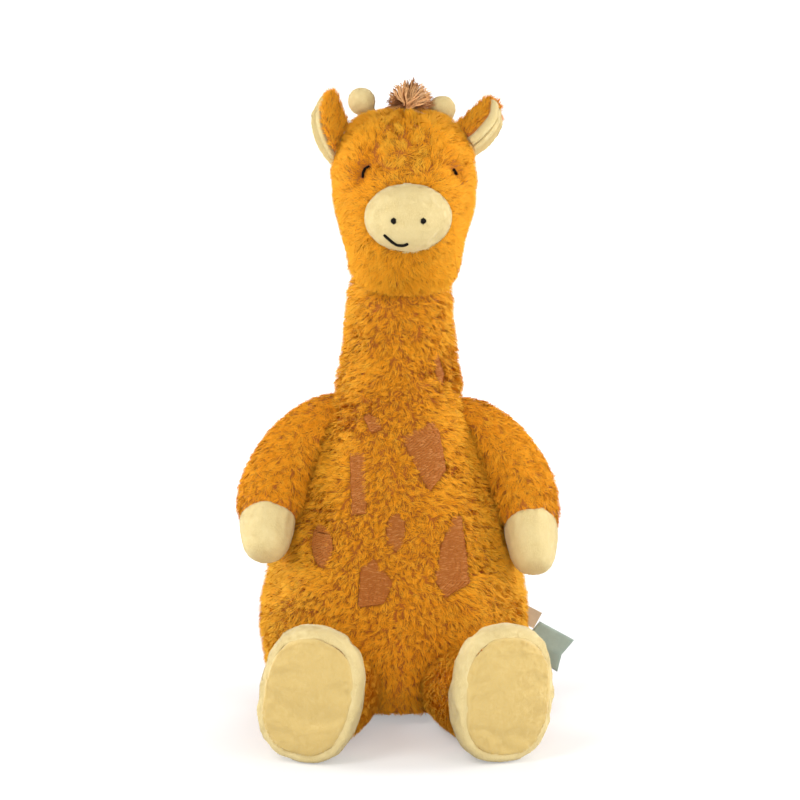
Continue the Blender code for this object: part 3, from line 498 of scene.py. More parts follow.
def fibre_mesh(name, verts, faces, shades, across, along):
    """Many like pieces in one mesh: their vertices (piece, vertex, xyz) and the faces of one piece. On the
    bake map each vertex lies across from its piece's shade, and along by its share of the way to the tip."""
    count, per, _ = verts.shape
    loops = np.array([i for face in faces for i in face])
    starts = np.cumsum([0] + [len(face) for face in faces[:-1]])
    first = np.arange(count)[:, None]
    mesh = bpy.data.meshes.new(name)
    mesh.vertices.add(count * per)
    mesh.vertices.foreach_set("co", verts.ravel())
    mesh.loops.add(count * len(loops))
    mesh.loops.foreach_set("vertex_index", (loops + first * per).ravel().astype(np.int32))
    mesh.polygons.add(count * len(starts))
    mesh.polygons.foreach_set("loop_start", (starts + first * len(loops)).ravel().astype(np.int32))
    mesh.update(calc_edges=True)
    u = shades[:, None] + across[loops]
    v = np.broadcast_to(MAP_EDGE + (1 - 2 * MAP_EDGE) * along[loops], u.shape)
    layer = mesh.uv_layers.new(name="OFBake")
    layer.data.foreach_set("uv", np.stack([u, v], axis=2).ravel())
    smooth(mesh)
    return mesh


# How much a strand narrows before its tip, and how far its normals lean towards the surface under it
TAPER = 0.65
NORMAL_SHARE = 0.75


def strands(name, data, finish, body, tone=0.0, part=slice(None)):
    """One piece of flat tapering strands, lighter by the tone; each takes light as part of one soft coat."""
    paths, widths, sides, shades, ups = (row[part] for row in (*data[:3], data[3] + tone, data[4]))
    count, steps, _ = paths.shape
    inner = np.arange(steps - 1) / (steps - 1)
    half = (sides * (widths[:, None] / 2))[:, None, :] * (1 - inner**2 * TAPER)[None, :, None]
    edges = np.stack([paths[:, :-1] - half, paths[:, :-1] + half], axis=2).reshape(count, 2 * (steps - 1), 3)
    verts = np.concatenate([edges, paths[:, -1:]], axis=1)
    per = verts.shape[1]
    faces = [(2 * i, 2 * i + 1, 2 * i + 3, 2 * i + 2) for i in range(steps - 2)]
    faces.append((per - 3, per - 2, per - 1))
    shades = np.clip(shades, MAP_EDGE + SHADE_WIDTH, 1 - MAP_EDGE - SHADE_WIDTH)
    across = np.array([-1, 1] * (steps - 1) + [0]) * SHADE_WIDTH
    mesh = fibre_mesh(name, verts, faces, shades, across, np.append(np.repeat(inner, 2), 1))
    flat = unit(np.cross(sides, unit(paths[:, -1] - paths[:, 0])))
    normal = unit(ups * NORMAL_SHARE + flat * (1 - NORMAL_SHARE))
    custom = mesh.attributes.new("custom_normal", "FLOAT_VECTOR", "POINT")
    custom.data.foreach_set("vector", np.repeat(normal, per, axis=0).ravel())
    mesh.update()
    carried(added(name, mesh, material_named(finish)), body)


def scattered(obj, density, rng):
    """Evenly strewn places on the object's faces, with the surface's normals there."""
    mesh = obj.data
    mesh.calc_loop_triangles()
    corners = np.empty(len(mesh.loop_triangles) * 3, int)
    mesh.loop_triangles.foreach_get("vertices", corners)
    corners = corners.reshape(-1, 3)
    places = points_of(obj)
    normals = normals_of(obj)
    a, b, c = (places[corners[:, i]] for i in range(3))
    areas = np.linalg.norm(np.cross(b - a, c - a), axis=1) / 2
    count = int(areas.sum() * density / MM**2)
    picks = np.searchsorted(np.cumsum(areas), rng.random(count) * areas.sum())
    picks = np.minimum(picks, len(areas) - 1)
    r = np.sqrt(rng.random(count))[:, None]
    s = rng.random(count)[:, None]
    weights = (1 - r, r * (1 - s), r * s)
    roots = sum(w * places[corners[picks, i]] for i, w in enumerate(weights))
    up = sum(w * normals[corners[picks, i]] for i, w in enumerate(weights))
    return roots, unit(up)


def coat_of(**changes):
    """How the orange fur lies, with its angles in degrees; changes make other coats of it."""
    s = sizes()
    coat = {
        "length": s.pile,
        "width": s.strand,
        "steps": 3,
        "sink": 0.3 * MM,
        # Tufts: their spacing, how many strands share one, and how they turn
        "tuft": s.tuft,
        "per_tuft": s.density * (s.tuft / MM) ** 2,
        "tuft_turn": 70,
        "turn": 30,
        "swirl": 30,
        "swirl_wave": 40 * MM,
        "clump": 0.12,
        "roll": 40,
        # How steeply the strands rise, how much that varies, and how far they bow and wave
        "lift": 66,
        "lift_spread": 0.12,
        "droop": 0.28,
        "wave": 0.0,
        # Lumps: how much shorter their rims are and how much painted shade darkens them, how far they reach
        # in tuft widths, how much their strands gather, and whether that fades where the cloth faces sideways
        "lumps": 0.0,
        "lump_reach": 0.6,
        "gather": 0.0,
        "ruffled": False,
        # Shares of the length and the lift for each strand
        "reach": 1.0,
        "flat": 1.0,
        # How much the shades of tufts and of strands differ, how softly they take light, and the swirl's seed
        "shade_tuft": 0.07,
        "shade_own": 0.10,
        "soft": 1.6,
        "seed": 1,
    }
    return {**coat, **changes}


def rotated(vectors, axes, angles):
    """Vectors turned about axes at right angles to them."""
    return vectors * np.cos(angles)[:, None] + np.cross(axes, vectors) * np.sin(angles)[:, None]


# Limits of the lift, how much of its spread each strand has by itself, and ranges by which tufts and strands
# differ in length and width
LOWEST, STEEPEST = radians(5), radians(88)
OWN_LIFT = 0.5
TUFT_CUT = (0.94, 1.04)
STRAND_CUT = (0.82, 1.03)
WIDTH_RANGE = (0.75, 1.2)
# How much painted shade darkens a lump's rim, how many tuft widths a clump reaches, and how late its strands
# meet
RIM_PAINTED_SHADE = 0.5
CLUMP_REACH = 2.2
CLUMP_CURVE = 1.4
# How far a drooping tip leans ahead, and how much strands in a tuft differ in their wave
DROOP_AHEAD = 0.6
PHASE_SPREAD = 0.5


def grown(roots, up, comb, coat, rng):
    """Paths, widths, sides, shades and soft normals of strands that lie in tufts along the comb's way."""
    count = len(roots)
    flow = comb(roots, up)
    flow = unit(flow - up * np.sum(flow * up, axis=1, keepdims=True))
    flow = rotated(flow, up, radians(coat["swirl"]) * ripple(roots, coat["swirl_wave"], coat["seed"]))
    middles = rng.permutation(count)[: max(2, int(count / max(1, coat["per_tuft"])))]
    tree = KDTree(len(middles))
    for i, place in enumerate(roots[middles].tolist()):
        tree.insert(place, i)
    tree.balance()
    owner = np.array([tree.find(place)[1] for place in roots.tolist()])
    turn = rng.normal(0, radians(coat["tuft_turn"]), len(middles))[owner]
    turn = turn + rng.normal(0, radians(coat["turn"]), count)
    lift = radians(coat["lift"])
    rise = lift * (1 + coat["lift_spread"] * rng.normal(size=len(middles))[owner])
    rise += lift * OWN_LIFT * coat["lift_spread"] * rng.normal(size=count)
    rise = np.clip(rise, LOWEST, STEEPEST) * coat["flat"]
    off = np.linalg.norm(roots - roots[middles][owner], axis=1)
    ruffle = up[:, 1] ** 2 if coat["ruffled"] else 1.0
    rim = np.clip(off / (coat["lump_reach"] * coat["tuft"]), 0, 1) ** 2 * coat["lumps"] * ruffle
    reach = coat["length"] * rng.uniform(*TUFT_CUT, len(middles))[owner] * rng.uniform(*STRAND_CUT, count)
    reach = reach * coat["reach"] * (1 - rim)
    way = rotated(flow, up, turn)
    side = np.cross(way, up)
    phase = rng.uniform(0, 2 * pi, len(middles))[owner] + rng.normal(0, PHASE_SPREAD, count)
    times = np.linspace(0, 1, coat["steps"])
    paths = np.empty((count, len(times), 3))
    for i, t in enumerate(times):
        height = np.sin(rise) * (t - coat["droop"] * t * t)
        along = np.cos(rise) * t + np.sin(rise) * coat["droop"] * t * t * DROOP_AHEAD
        paths[:, i] = roots + (up * height[:, None] + way * along[:, None]) * reach[:, None]
        paths[:, i] += side * (coat["wave"] * np.sin(phase + 2 * pi * t) * t)[:, None]
    pull = (coat["clump"] + coat["gather"] * ruffle) * (off < CLUMP_REACH * coat["tuft"])
    paths += (paths[middles][owner] - paths) * (times**CLUMP_CURVE)[None, :, None] * pull[:, None, None]
    paths -= up[:, None, :] * coat["sink"]
    heading = unit(paths[:, -1] - paths[:, 0])
    across = rotated(unit(np.cross(heading, up)), heading, rng.normal(0, radians(coat["roll"]), count))
    facing = np.sum(np.cross(across, heading) * up, axis=1)
    across = across * np.where(facing < 0, -1, 1)[:, None]
    shades = 0.5 + coat["shade_tuft"] * rng.normal(size=len(middles))[owner]
    # Painted shade darkens the strands on the lumps' rims
    shades += coat["shade_own"] * rng.normal(size=count) - rim * RIM_PAINTED_SHADE
    widths = coat["width"] * rng.uniform(*WIDTH_RANGE, count)
    return paths, widths, across, shades, up * coat["soft"]


# Corners of a thread's section, in half widths and heights, how fast its ends rise from the cloth, and how
# much the threads' shades differ
THREAD_SECTION_SHARES = ((-1, 0), (-0.55, 0.8), (0.55, 0.8), (1, 0), (0, -0.6))
THREAD_RISE = 0.35
THREAD_SHADES = 0.18


def stitched(name, rows, width, height, finish, body, nodes, rng):
    """One embroidered piece of raised threads that dive into the cloth, in place of those CAD nodes; rows
    hold each thread's path and the cloth's normal there."""
    paths, ups = (np.array(row) for row in zip(*rows))
    count, steps, _ = paths.shape
    heading = unit(np.gradient(paths, axis=1))
    across = unit(np.cross(heading, ups[:, None, :]))
    arch = np.sin(np.linspace(0, pi, steps)) ** THREAD_RISE
    ridges = []
    for out, up in THREAD_SECTION_SHARES:
        raised = ups[:, None, :] * (height * (up * arch - (1 - arch)))[None, :, None]
        ridges.append(paths + across * out * width / 2 + raised)
    section = len(ridges)
    verts = np.stack(ridges, axis=2).reshape(count, -1, 3)
    faces = []
    for i in range(0, (steps - 1) * section, section):
        for j in range(section):
            k = (j + 1) % section
            faces.append((i + j, i + k, i + section + k, i + section + j))
    faces += [range(section - 1, -1, -1), range((steps - 1) * section, steps * section)]
    shades = np.clip(0.5 + THREAD_SHADES * rng.normal(size=count), 0.1, 0.9)
    corners = np.arange(steps * section)
    spread = (corners % section - (section - 1) / 2) * SHADE_WIDTH / 2
    mesh = fibre_mesh(name, verts, faces, shades, spread, corners // section / (steps - 1))
    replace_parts(carried(added(name, mesh, material_named(finish)), body), *nodes)


# The picture's view

VIEW_TARGET = Vector((0, 0, 0.1548))
VIEW_DISTANCE = 1.6
VIEW_ELEVATION = radians(9)
LENS_MM = 144
SENSOR_MM = 36
PICTURE = 800
EYE = VIEW_TARGET + VIEW_DISTANCE * Vector((0, -cos(VIEW_ELEVATION), sin(VIEW_ELEVATION)))
AHEAD = Vector((0, 1, 0))


def sight(px, py):
    """Direction of the line of sight through that point of the picture."""
    pixel = SENSOR_MM / LENS_MM / PICTURE
    right = Vector((1, 0, 0))
    ahead = (VIEW_TARGET - EYE).normalized()
    up = right.cross(ahead)
    return (ahead + right * (px - PICTURE / 2) * pixel + up * (PICTURE / 2 - py) * pixel).normalized()


def seen(tree, px, py):
    """Place and normal where that line of sight meets the tree."""
    place, normal, _, _ = tree.ray_cast(EYE, sight(px, py))
    if place is None:
        raise ValueError(f"nothing is seen at {px}, {py}")
    return place, normal


def behind(tree, x, z):
    """Place and normal where the tree is met from the front at that width and height, or None."""
    return tree.ray_cast((x, -1.0, z), AHEAD)[:2]


# Points that each line is sampled at, between two points of the picture
LINE_STEPS = 12


def line_distances(obj, line, roots):
    """Distance of each root to the line through those points of the picture on the object."""
    tree = tree_of(obj)
    nearest = np.full(len(roots), 1.0)
    for start, end in zip(line, line[1:]):
        for t in np.linspace(0, 1, LINE_STEPS):
            place, _ = seen(tree, start[0] + (end[0] - start[0]) * t, start[1] + (end[1] - start[1]) * t)
            nearest = np.minimum(nearest, np.linalg.norm(roots - np.array(place), axis=1))
    return nearest


SMILE_POINTS = (
    (384.5, 234.5),
    (388.5, 238.5),
    (393, 242),
    (397, 244.3),
    (401.5, 245),
    (405, 244.6),
    (408.5, 243),
)
EYE_POINTS = {
    "right": ((363.5, 178.5), (364.3, 174), (366, 170), (368.5, 167.2), (371, 166.3)),
    "left": ((451.5, 169.5), (452.8, 171.5), (454.3, 174.5)),
}
NOSTRIL_POINTS = {"right": (394, 221), "left": (423, 221)}
NOSTRIL_HALF = 2.2
# Where the fur parts: a fold of the neck, and the middle seam between the legs
CREASES = (
    ((368, 304), (384, 305), (398, 303), (412, 299), (426, 296)),
    ((401, 640), (400, 670), (400, 704)),
)
LABEL_CORNER = (574, 640)


def eye_distances(obj, places):
    """Distance of each place to the nearer eye's line on that object."""
    return np.minimum(*(line_distances(obj, line, places) for line in EYE_POINTS.values()))


# Forms


def dressed(obj, finish, body, nodes):
    """A finished cloth form: its finish and body, and the nodes it stands for."""
    smooth(obj.data)
    obj.data.materials.clear()
    obj.data.materials.append(material_named(finish))
    carried(obj, body)
    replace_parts(obj, *nodes)


RIM_SMOOTHING = 8


def cut_out(name, obj, taken, thickness):
    """The part of the form whose vertices are taken, as a sheet of that thickness."""
    bm = bmesh.new()
    bm.from_mesh(obj.data)
    bm.verts.ensure_lookup_table()
    away = [f for f in bm.faces if sum(taken[v.index] for v in f.verts) < len(f.verts) / 2]
    bmesh.ops.delete(bm, geom=away, context="FACES")
    for _ in range(RIM_SMOOTHING):
        moved = {}
        for v in bm.verts:
            if v.is_boundary:
                near = [e.other_vert(v).co for e in v.link_edges if e.is_boundary]
                moved[v] = (v.co * 2 + sum(near, Vector())) / (2 + len(near))
        for v, place in moved.items():
            v.co = place
    piece = largest(added(name, written(bm, bpy.data.meshes.new(name))))
    return modified(piece, "SOLIDIFY", thickness=thickness, offset=-1)


SEAM_WIDTH = 4 * MM
SIDE_SEAM_DEPTH = -0.004


def seams_of(obj):
    """Vertices on the side seams and the middle seam at the back."""
    places = points_of(obj)
    middle = (np.abs(places[:, 0]) < SEAM_WIDTH / 2) & (places[:, 1] > 0)
    return middle | (np.abs(places[:, 1] - SIDE_SEAM_DEPTH) < SEAM_WIDTH / 2)


# Share of the swell by which the unstuffed cloth starts deeper
SWELL_LEFT = 0.25
BASE_CLEARANCE = 1.2 * MM
# The seat's front edge rises a little off the floor
FRONT_START = -0.008
FRONT_REACH = 0.025
FRONT_RISE = 4.5 * MM


def skin(name, nodes, voxel):
    """The stuffed cloth of those nodes, as deep as the fur's backing."""
    s = sizes()
    obj = form(name, nodes, voxel)
    shrunk(obj, s.backing + s.swell * SWELL_LEFT)
    stuffed(obj, s.swell, seams_of(obj))
    return obj


class GIRAFFE_OT_body(bpy.types.Operator):
    """Builds the stuffed body and neck"""

    bl_idname = "giraffe.body"
    bl_label = "Body"

    def execute(self, context):
        nodes = ("body_skin", "body_stuffing", "pellet_pouch")
        obj = skin("body_cloth", nodes, sizes().voxel)
        places = points_of(obj)
        ahead = np.clip((FRONT_START - places[:, 1]) / FRONT_REACH, 0, 1)
        placed(obj, lifted(places, BASE_CLEARANCE + FRONT_RISE * ahead))
        dressed(obj, "knitted_fur_backing", "torso", nodes)
        return {"FINISHED"}


# How much finer the head's cloth is meshed, and how deep and wide the hollows of its eyes are
HEAD_VOXEL_SHARE = 0.8
EYE_HOLLOW = 2.4 * MM
EYE_HOLLOW_REACH = 6 * MM
MUZZLE_VOXEL = 1.8 * MM
MUZZLE_DEPTH = 0.7 * MM
MUZZLE_SWELL = 0.8 * MM
MUZZLE_SEAM = 2 * MM


class GIRAFFE_OT_head(bpy.types.Operator):
    """Builds the stuffed head and the muzzle"""

    bl_idname = "giraffe.head"
    bl_label = "Head"

    def execute(self, context):
        s = sizes()
        nodes = ("head_skin", "head_stuffing")
        obj = skin("head_cloth", nodes, s.voxel * HEAD_VOXEL_SHARE)
        places = points_of(obj)
        hollow = EYE_HOLLOW * np.exp(-((eye_distances(obj, places) / EYE_HOLLOW_REACH) ** 2))
        placed(obj, places - normals_of(obj) * hollow[:, None])
        dressed(obj, "knitted_fur_backing", "head", nodes)
        muzzle = shrunk(form("muzzle_form", ("muzzle",), MUZZLE_VOXEL, smoothing=3), MUZZLE_DEPTH)
        stuffed(muzzle, MUZZLE_SWELL, distances(cad_tree("head_skin"), points_of(muzzle)) < MUZZLE_SEAM)
        dressed(rounded(muzzle), "velboa_ground", "head", ("muzzle",))
        return {"FINISHED"}


EAR_VOXEL = 1.0 * MM
LINING_VOXEL = 0.6 * MM
# The lining's cloth turns over the edge of the fur by the rim's width
EAR_RIM = {"left": 4.0 * MM, "right": 2.2 * MM}
EAR_STATION = 1.5 * MM
EAR_RIM_CLOTH = 0.6 * MM
EAR_RIM_RAISE = 0.4 * MM
# Shares by which each ear is drawn in across, in depth and in height, and how far it hangs down
EAR_FITS = {"left": (1.0, 1.0, 0.88, 1.5 * MM), "right": (0.88, 1.0, 0.9, 0)}
# Ways from root to tip of the ears, of which the left one leans out further
EAR_WAYS = {"left": (0.72, 0.05, 0.69), "right": (-0.37, 0.05, 0.93)}


class GIRAFFE_OT_ears(bpy.types.Operator):
    """Builds both ears: fur backs and velboa linings"""

    bl_idname = "giraffe.ears"
    bl_label = "Ears"

    def execute(self, context):
        for side in SIDES:
            back = form("ear_back_form_" + side, ("ear_back_" + side,), EAR_VOXEL, smoothing=3)
            lining = form("ear_lining_form_" + side, ("ear_lining_" + side,), LINING_VOXEL, smoothing=3)
            rim = cut_out("ear_rim_" + side, back, open_edge(back, side), EAR_RIM_CLOTH)
            joined(lining, shrunk(rim, -EAR_RIM_RAISE))
            low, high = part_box("ear_back_" + side)
            root = np.array((low.x if side == "left" else high.x, (low.y + high.y) / 2, (low.z + high.z) / 2))
            *shares, drop = EAR_FITS[side]
            for piece in (back, lining):
                placed(piece, root + (points_of(piece) - root) * shares - (0, 0, drop))
            dressed(back, "knitted_fur_backing", "ear_" + side, ("ear_back_" + side,))
            dressed(lining, "velboa_ground", "ear_" + side, ("ear_lining_" + side,))
        return {"FINISHED"}


def joined(first, second):
    """Adds the second object's faces to the first one."""
    bm = bmesh.new()
    for obj in (first, second):
        bm.from_mesh(obj.data)
    written(bm, first.data)
    bpy.data.objects.remove(second)


def open_edge(ear, side):
    """Which vertices lie in the band along the ear's open side, its front and back halves each by itself."""
    way = np.array(EAR_WAYS[side])
    across = np.array((SIDES[side] * way[2], 0, -SIDES[side] * way[0]))
    places = points_of(ear)
    station = np.floor(places @ way / EAR_STATION).astype(int)
    station = 2 * (station - station.min())
    station += places[:, 1] > places[:, 1].mean()
    out = places @ across
    ends = np.full(station.max() + 1, -1.0)
    np.maximum.at(ends, station, out)
    return out > ends[station] - EAR_RIM[side]


KNOB_VOXEL = 1.0 * MM
KNOB_SWELL = 0.4 * MM


class GIRAFFE_OT_ossicones(bpy.types.Operator):
    """Builds the two knobs on the crown"""

    bl_idname = "giraffe.ossicones"
    bl_label = "Ossicones"

    def execute(self, context):
        for side in SIDES:
            node_name = "ossicone_" + side
            knob = form(node_name + "_form", (node_name,), KNOB_VOXEL, smoothing=1)
            stuffed(knob, KNOB_SWELL)
            dressed(rounded(knob), "velboa_ground", "head", (node_name,))
        return {"FINISHED"}


LIMB_VOXEL = 2.2 * MM
ARM_SMOOTHING = 2
LEG_SMOOTHING = 4
LIMB_SHRINK = 0.2 * MM
LIMB_SEAM = 1 * MM
PINCH_CURVE = 1.5
END_CLOTH = 1.2 * MM
FOOT_CLEARANCE = 0.4 * MM
# How wide and how deep the cloth is drawn in along the seams
ARM_SEAM = (2.5 * MM, 0.8 * MM)
LEG_SEAM = (2.2 * MM, 1.8 * MM)
# How far each arm's outer side sinks where it is less full, and how far its hand hangs down
ARM_SLACK = {"left": 2.4 * MM, "right": 0.5 * MM}
HAND_HANG = {"left": 4.5 * MM, "right": 0.5 * MM}


def limb(kind, side, covers, settle, smoothing, seam_width, seam_depth):
    """A stuffed limb: the velboa ends are cut out of its form, and the fur cloth lies deeper inside it."""
    s = sizes()
    body = f"{kind}_{side}"
    nodes = [cover + side for cover in covers]
    stuffing = f"{kind}_stuffing_{side}"
    whole = form(f"{kind}_cloth_{side}", [*nodes, stuffing], LIMB_VOXEL, smoothing)
    away = np.stack([distances(cad_tree(n), points_of(whole)) for n in nodes])
    owner = away.argmin(axis=0)
    away.sort(axis=0)
    gap = away[1] - away[0]
    shrunk(whole, LIMB_SHRINK)
    stuffed(whole, s.swell, gap < LIMB_SEAM)
    drawn = np.clip(1 - gap / seam_width, 0, 1) ** PINCH_CURVE * seam_depth
    placed(whole, points_of(whole) - normals_of(whole) * drawn[:, None])
    placed(whole, settle(whole, side))
    for i, cover in enumerate(covers[1:], start=1):
        ground = "velboa_sole_ground" if cover == "sole_" else "velboa_ground"
        end = rounded(cut_out(f"{cover}form_{side}", whole, owner == i, END_CLOTH))
        dressed(end, ground, body, (nodes[i],))
    shrunk(whole, s.backing)
    dressed(whole, "knitted_fur_backing", body, (nodes[0], stuffing))


def slackened(arm, side):
    """The arm's places with its outer side sunk, and with its hand's end hanging down."""
    places = points_of(arm)
    normals = normals_of(arm)
    low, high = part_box("hand_" + side)
    outer = np.clip(normals[:, 0] * SIDES[side] + normals[:, 2], 0, 1)
    above = np.clip((places[:, 2] - low.z) / (high.z - low.z), 0, 1)
    places -= normals * (outer * above * ARM_SLACK[side])[:, None]
    places[:, 2] -= HAND_HANG[side] * (1 - above)
    return places


def resting(leg, side):
    """The leg's places, kept above the floor."""
    return lifted(points_of(leg), FOOT_CLEARANCE)


class GIRAFFE_OT_arms(bpy.types.Operator):
    """Builds both arms: fur sleeves and velboa mitts"""

    bl_idname = "giraffe.arms"
    bl_label = "Arms"

    def execute(self, context):
        for side in SIDES:
            limb("arm", side, ("arm_sleeve_", "hand_"), slackened, ARM_SMOOTHING, *ARM_SEAM)
        return {"FINISHED"}


class GIRAFFE_OT_legs(bpy.types.Operator):
    """Builds both legs: fur tops, velboa uppers and large soles"""

    bl_idname = "giraffe.legs"
    bl_label = "Legs"

    def execute(self, context):
        for side in SIDES:
            limb("leg", side, ("leg_skin_", "foot_upper_", "sole_"), resting, LEG_SMOOTHING, *LEG_SEAM)
        return {"FINISHED"}


TAIL_VOXEL = 1.5 * MM
# Depth under the CAD's surface, and fullness, of the tail's tube and of its tuft's core
TAIL_TUBE = (1.2 * MM, 0.8)
TAIL_CORE = (3.5 * MM, 0.5)


class GIRAFFE_OT_tail(bpy.types.Operator):
    """Builds the tail's tube and the core of its tuft"""

    bl_idname = "giraffe.tail"
    bl_label = "Tail"

    def execute(self, context):
        for name, node_name, finish, (depth, fill) in (
            ("tail_cloth", "tail_tube", "knitted_fur_backing", TAIL_TUBE),
            ("tail_tuft_core", "tail_tuft", "brushed_mane_core", TAIL_CORE),
        ):
            core = shrunk(form(name, (node_name,), TAIL_VOXEL), depth)
            dressed(core, finish, "tail", (node_name,))
        return {"FINISHED"}


# Coats

FUR = "acrylic_fur_long_pile"
SPOTS = ("neck", "collar", "tall", "chest", "triangle", "diamond", "oval", "side")
# How many times the usual number of strands these furs have, and strands of the yarns in a square millimetre
CROWD = {"head": 1.1, "arm": 1.1, "ear": 1.6, "tail": 1.3}
MANE_DENSITY = 1.5
TUFT_DENSITY = 3.2
# Shares of the usual length that these furs have, and how much lighter they are; the legs' is painted light
SHORTER = {"leg": 0.85, "ear": 0.68, "tail": 0.6, "tuft": 0.75}
TONES_AND_PAINTED_LIGHT = {"arm": 0.06, "leg": 0.22, "ear": 0.12}
# Bare strips along the seams, how high strands stay over the floor, and up to where it presses them flat
SEAM_BARE = 0.8 * MM
NECK_BARE = 2.5 * MM
LINING_BARE = 1.0 * MM
FUR_CLEARANCE = 0.2 * MM
TUFT_CLEARANCE = 0.5 * MM
NAP_CLEARANCE = 0.1 * MM
FLOOR_PRESSED = 1 * MM


def combed(start, end):
    """A comb that lays all strands along the way between those places."""
    way = np.array(end, float) - np.array(start, float)
    return lambda roots, up: np.tile(way, (len(roots), 1))


downward = combed((0, 0, 0), (0, 0, -1))


def middle_of(node_name):
    low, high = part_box(node_name)
    return (low + high) / 2


def rooted(name, density, seed):
    """The random draws for one cloth's strands, and the strands' roots with the normals there."""
    rng = np.random.default_rng(seed)
    return rng, *scattered(object_named(name), density, rng)


def kept(mask, *rows):
    return [row[mask] for row in rows]


def in_front_of(tree, places):
    """Which places are covered by the tree's faces, as seen along the depth axis."""
    return np.array([behind(tree, x, z)[0] is not None for x, _, z in places.tolist()])


def covered(tree, roots, up, reach):
    """Which roots have a face of the tree above them, within that reach."""
    hits = [tree.ray_cast(r, n, reach)[0] is not None for r, n in zip(roots.tolist(), up.tolist())]
    return np.array(hits)


def lowered(coat, share, reach=0.35, lift=0.2):
    """Shortens and flattens the strands, down to those shares of length and lift where the share is 0."""
    coat["reach"] = coat["reach"] * (reach + (1 - reach) * share)
    coat["flat"] = coat["flat"] * (lift + (1 - lift) * share)


def pressed(coat, tree, roots, near, far):
    """Lowers the strands that are close to the tree."""
    lowered(coat, np.clip((distances(tree, roots, far) - near) / (far - near), 0, 1))


def over_floor(roots, reach):
    """How far over the floor's pressed fur each root lies, as a share of the reach."""
    return np.clip((roots[:, 2] - FLOOR_PRESSED) / reach, 0, 1)


class GIRAFFE_OT_fur(bpy.types.Operator):
    """Grows the orange fur on every fur cloth"""

    bl_idname = "giraffe.fur"
    bl_label = "Fur"

    def execute(self, context):
        body_fur()
        head_fur()
        for side, sign in SIDES.items():
            arm_fur(side, sign)
            leg_fur(side, sign)
            ear_fur(side, sign)
        tail_fur()
        return {"FINISHED"}


NECK_FUR_TOP = 0.219
NECK_FUR_BOTTOM = 0.150
# Depth up to which the spots hide the fur, and the share of their length that strands over a spot keep
SPOT_DEPTH = 0.005
SPOT_LAP = 0.9
CREASE_WIDTH = 2.6 * MM
# Depth from which the fur belongs to the back's pieces
BACK_DEPTH = 0.002


def body_fur():
    rng, roots, up = rooted("body_cloth", sizes().density, seed=11)
    spots = cad_tree(*("spot_" + name for name in SPOTS))
    front = roots[:, 1] < SPOT_DEPTH
    under = np.zeros(len(roots), bool)
    under[front] = in_front_of(spots, roots[front])
    keep = ~under & ~covered(tree_of("head_cloth"), roots, up, reach=6 * MM) & (roots[:, 2] < NECK_FUR_TOP)
    roots, up = kept(keep, roots, up)
    coat = coat_of(seed=12, ruffled=True, lumps=0.35, gather=0.35, tuft_turn=45)
    parts = ("arm_cloth_", "leg_cloth_", "hand_form_", "foot_upper_form_")
    limbs = tree_of(*(part + side for part in parts for side in SIDES))
    pressed(coat, limbs, roots, near=0.3 * MM, far=5 * MM)
    for line in CREASES:
        lowered(coat, np.clip(line_distances("body_cloth", line, roots) / CREASE_WIDTH, 0, 1), lift=0.5)
    lowered(coat, over_floor(roots, reach=14 * MM), reach=0.3, lift=0.25)
    data = grown(roots, up, body_comb, coat, rng)
    lap = in_front_of(spots, data[0][:, -1]) & front[keep]
    shorter = np.where(lap, SPOT_LAP, 1.0)
    data[0][:] = roots[:, None, :] + (data[0] - roots[:, None, :]) * shorter[:, None, None]
    lifted(data[0], FUR_CLEARANCE)
    back = roots[:, 1] > BACK_DEPTH
    neck = roots[:, 2] > NECK_FUR_BOTTOM
    belly = ~back & ~neck & (roots[:, 2] > 0)
    left = roots[:, 0] > 0
    pieces = {"neck_fur": neck & ~back, "nape_fur": neck & back}
    for name, half in (("left", left), ("right", ~left)):
        pieces["belly_fur_" + name] = belly & half
        pieces["back_fur_" + name] = back & ~neck & half
    for name, part in pieces.items():
        strands(name, data, FUR, "torso", body_tone_with_painted_side_light(roots), part)


# Below this height, and behind this depth, the belly's fur turns outwards by so much
SPLAY_TOP = 0.03
SPLAY_FRONT = -0.03
SPLAY = 1.2


def body_comb(roots, up):
    """Down the body, and outwards below the belly's widest part."""
    low = np.clip((SPLAY_TOP - roots[:, 2]) / SPLAY_TOP, 0, 1)[:, None] * (roots[:, 1:2] > SPLAY_FRONT)
    return downward(roots, up) + low * unit(roots * (1, 1, 0) + 1e-6) * SPLAY


# Half widths over which neck and belly grow lighter, how much lighter the middle is, and the sides' painted
# light
NECK_HALF, BELLY_HALF = 0.036, 0.058
MIDDLE_TONE, SIDE_PAINTED_LIGHT = 0.08, 0.2


def body_tone_with_painted_side_light(roots):
    """The neck is a little lighter than the belly, and painted light makes the sides lighter than the middle.
    """
    half = np.where(roots[:, 2] > NECK_FUR_BOTTOM, NECK_HALF, BELLY_HALF)
    # Painted light that makes the sides lighter
    return MIDDLE_TONE + SIDE_PAINTED_LIGHT * np.clip(np.abs(roots[:, 0]) / half, 0, 1) ** 2


# Round the eyes: the bare strip, the strip over which the fur grows to its length, the share of the length
# that it starts with, and how much painted shade darkens it in the hollows
EYE_BARE = 1.3 * MM
EYE_DIMPLE = 8 * MM
EYE_SHORT = 0.4
EYE_PAINTED_SHADE = 0.45
# Longer fur that hides the foot of the crown tuft
CREST = 0.7
CREST_REACH = 7 * MM
# The forehead's curly part, whose edge wanders
RIDGE_MIDDLE = 2 * MM
RIDGE_WIDTH = 24 * MM
RIDGE_DEPTH = -0.01
RIDGE_FOOT = 0.267
RIDGE_WANDER = 2.5 * MM
RIDGE_WAVE = 9 * MM
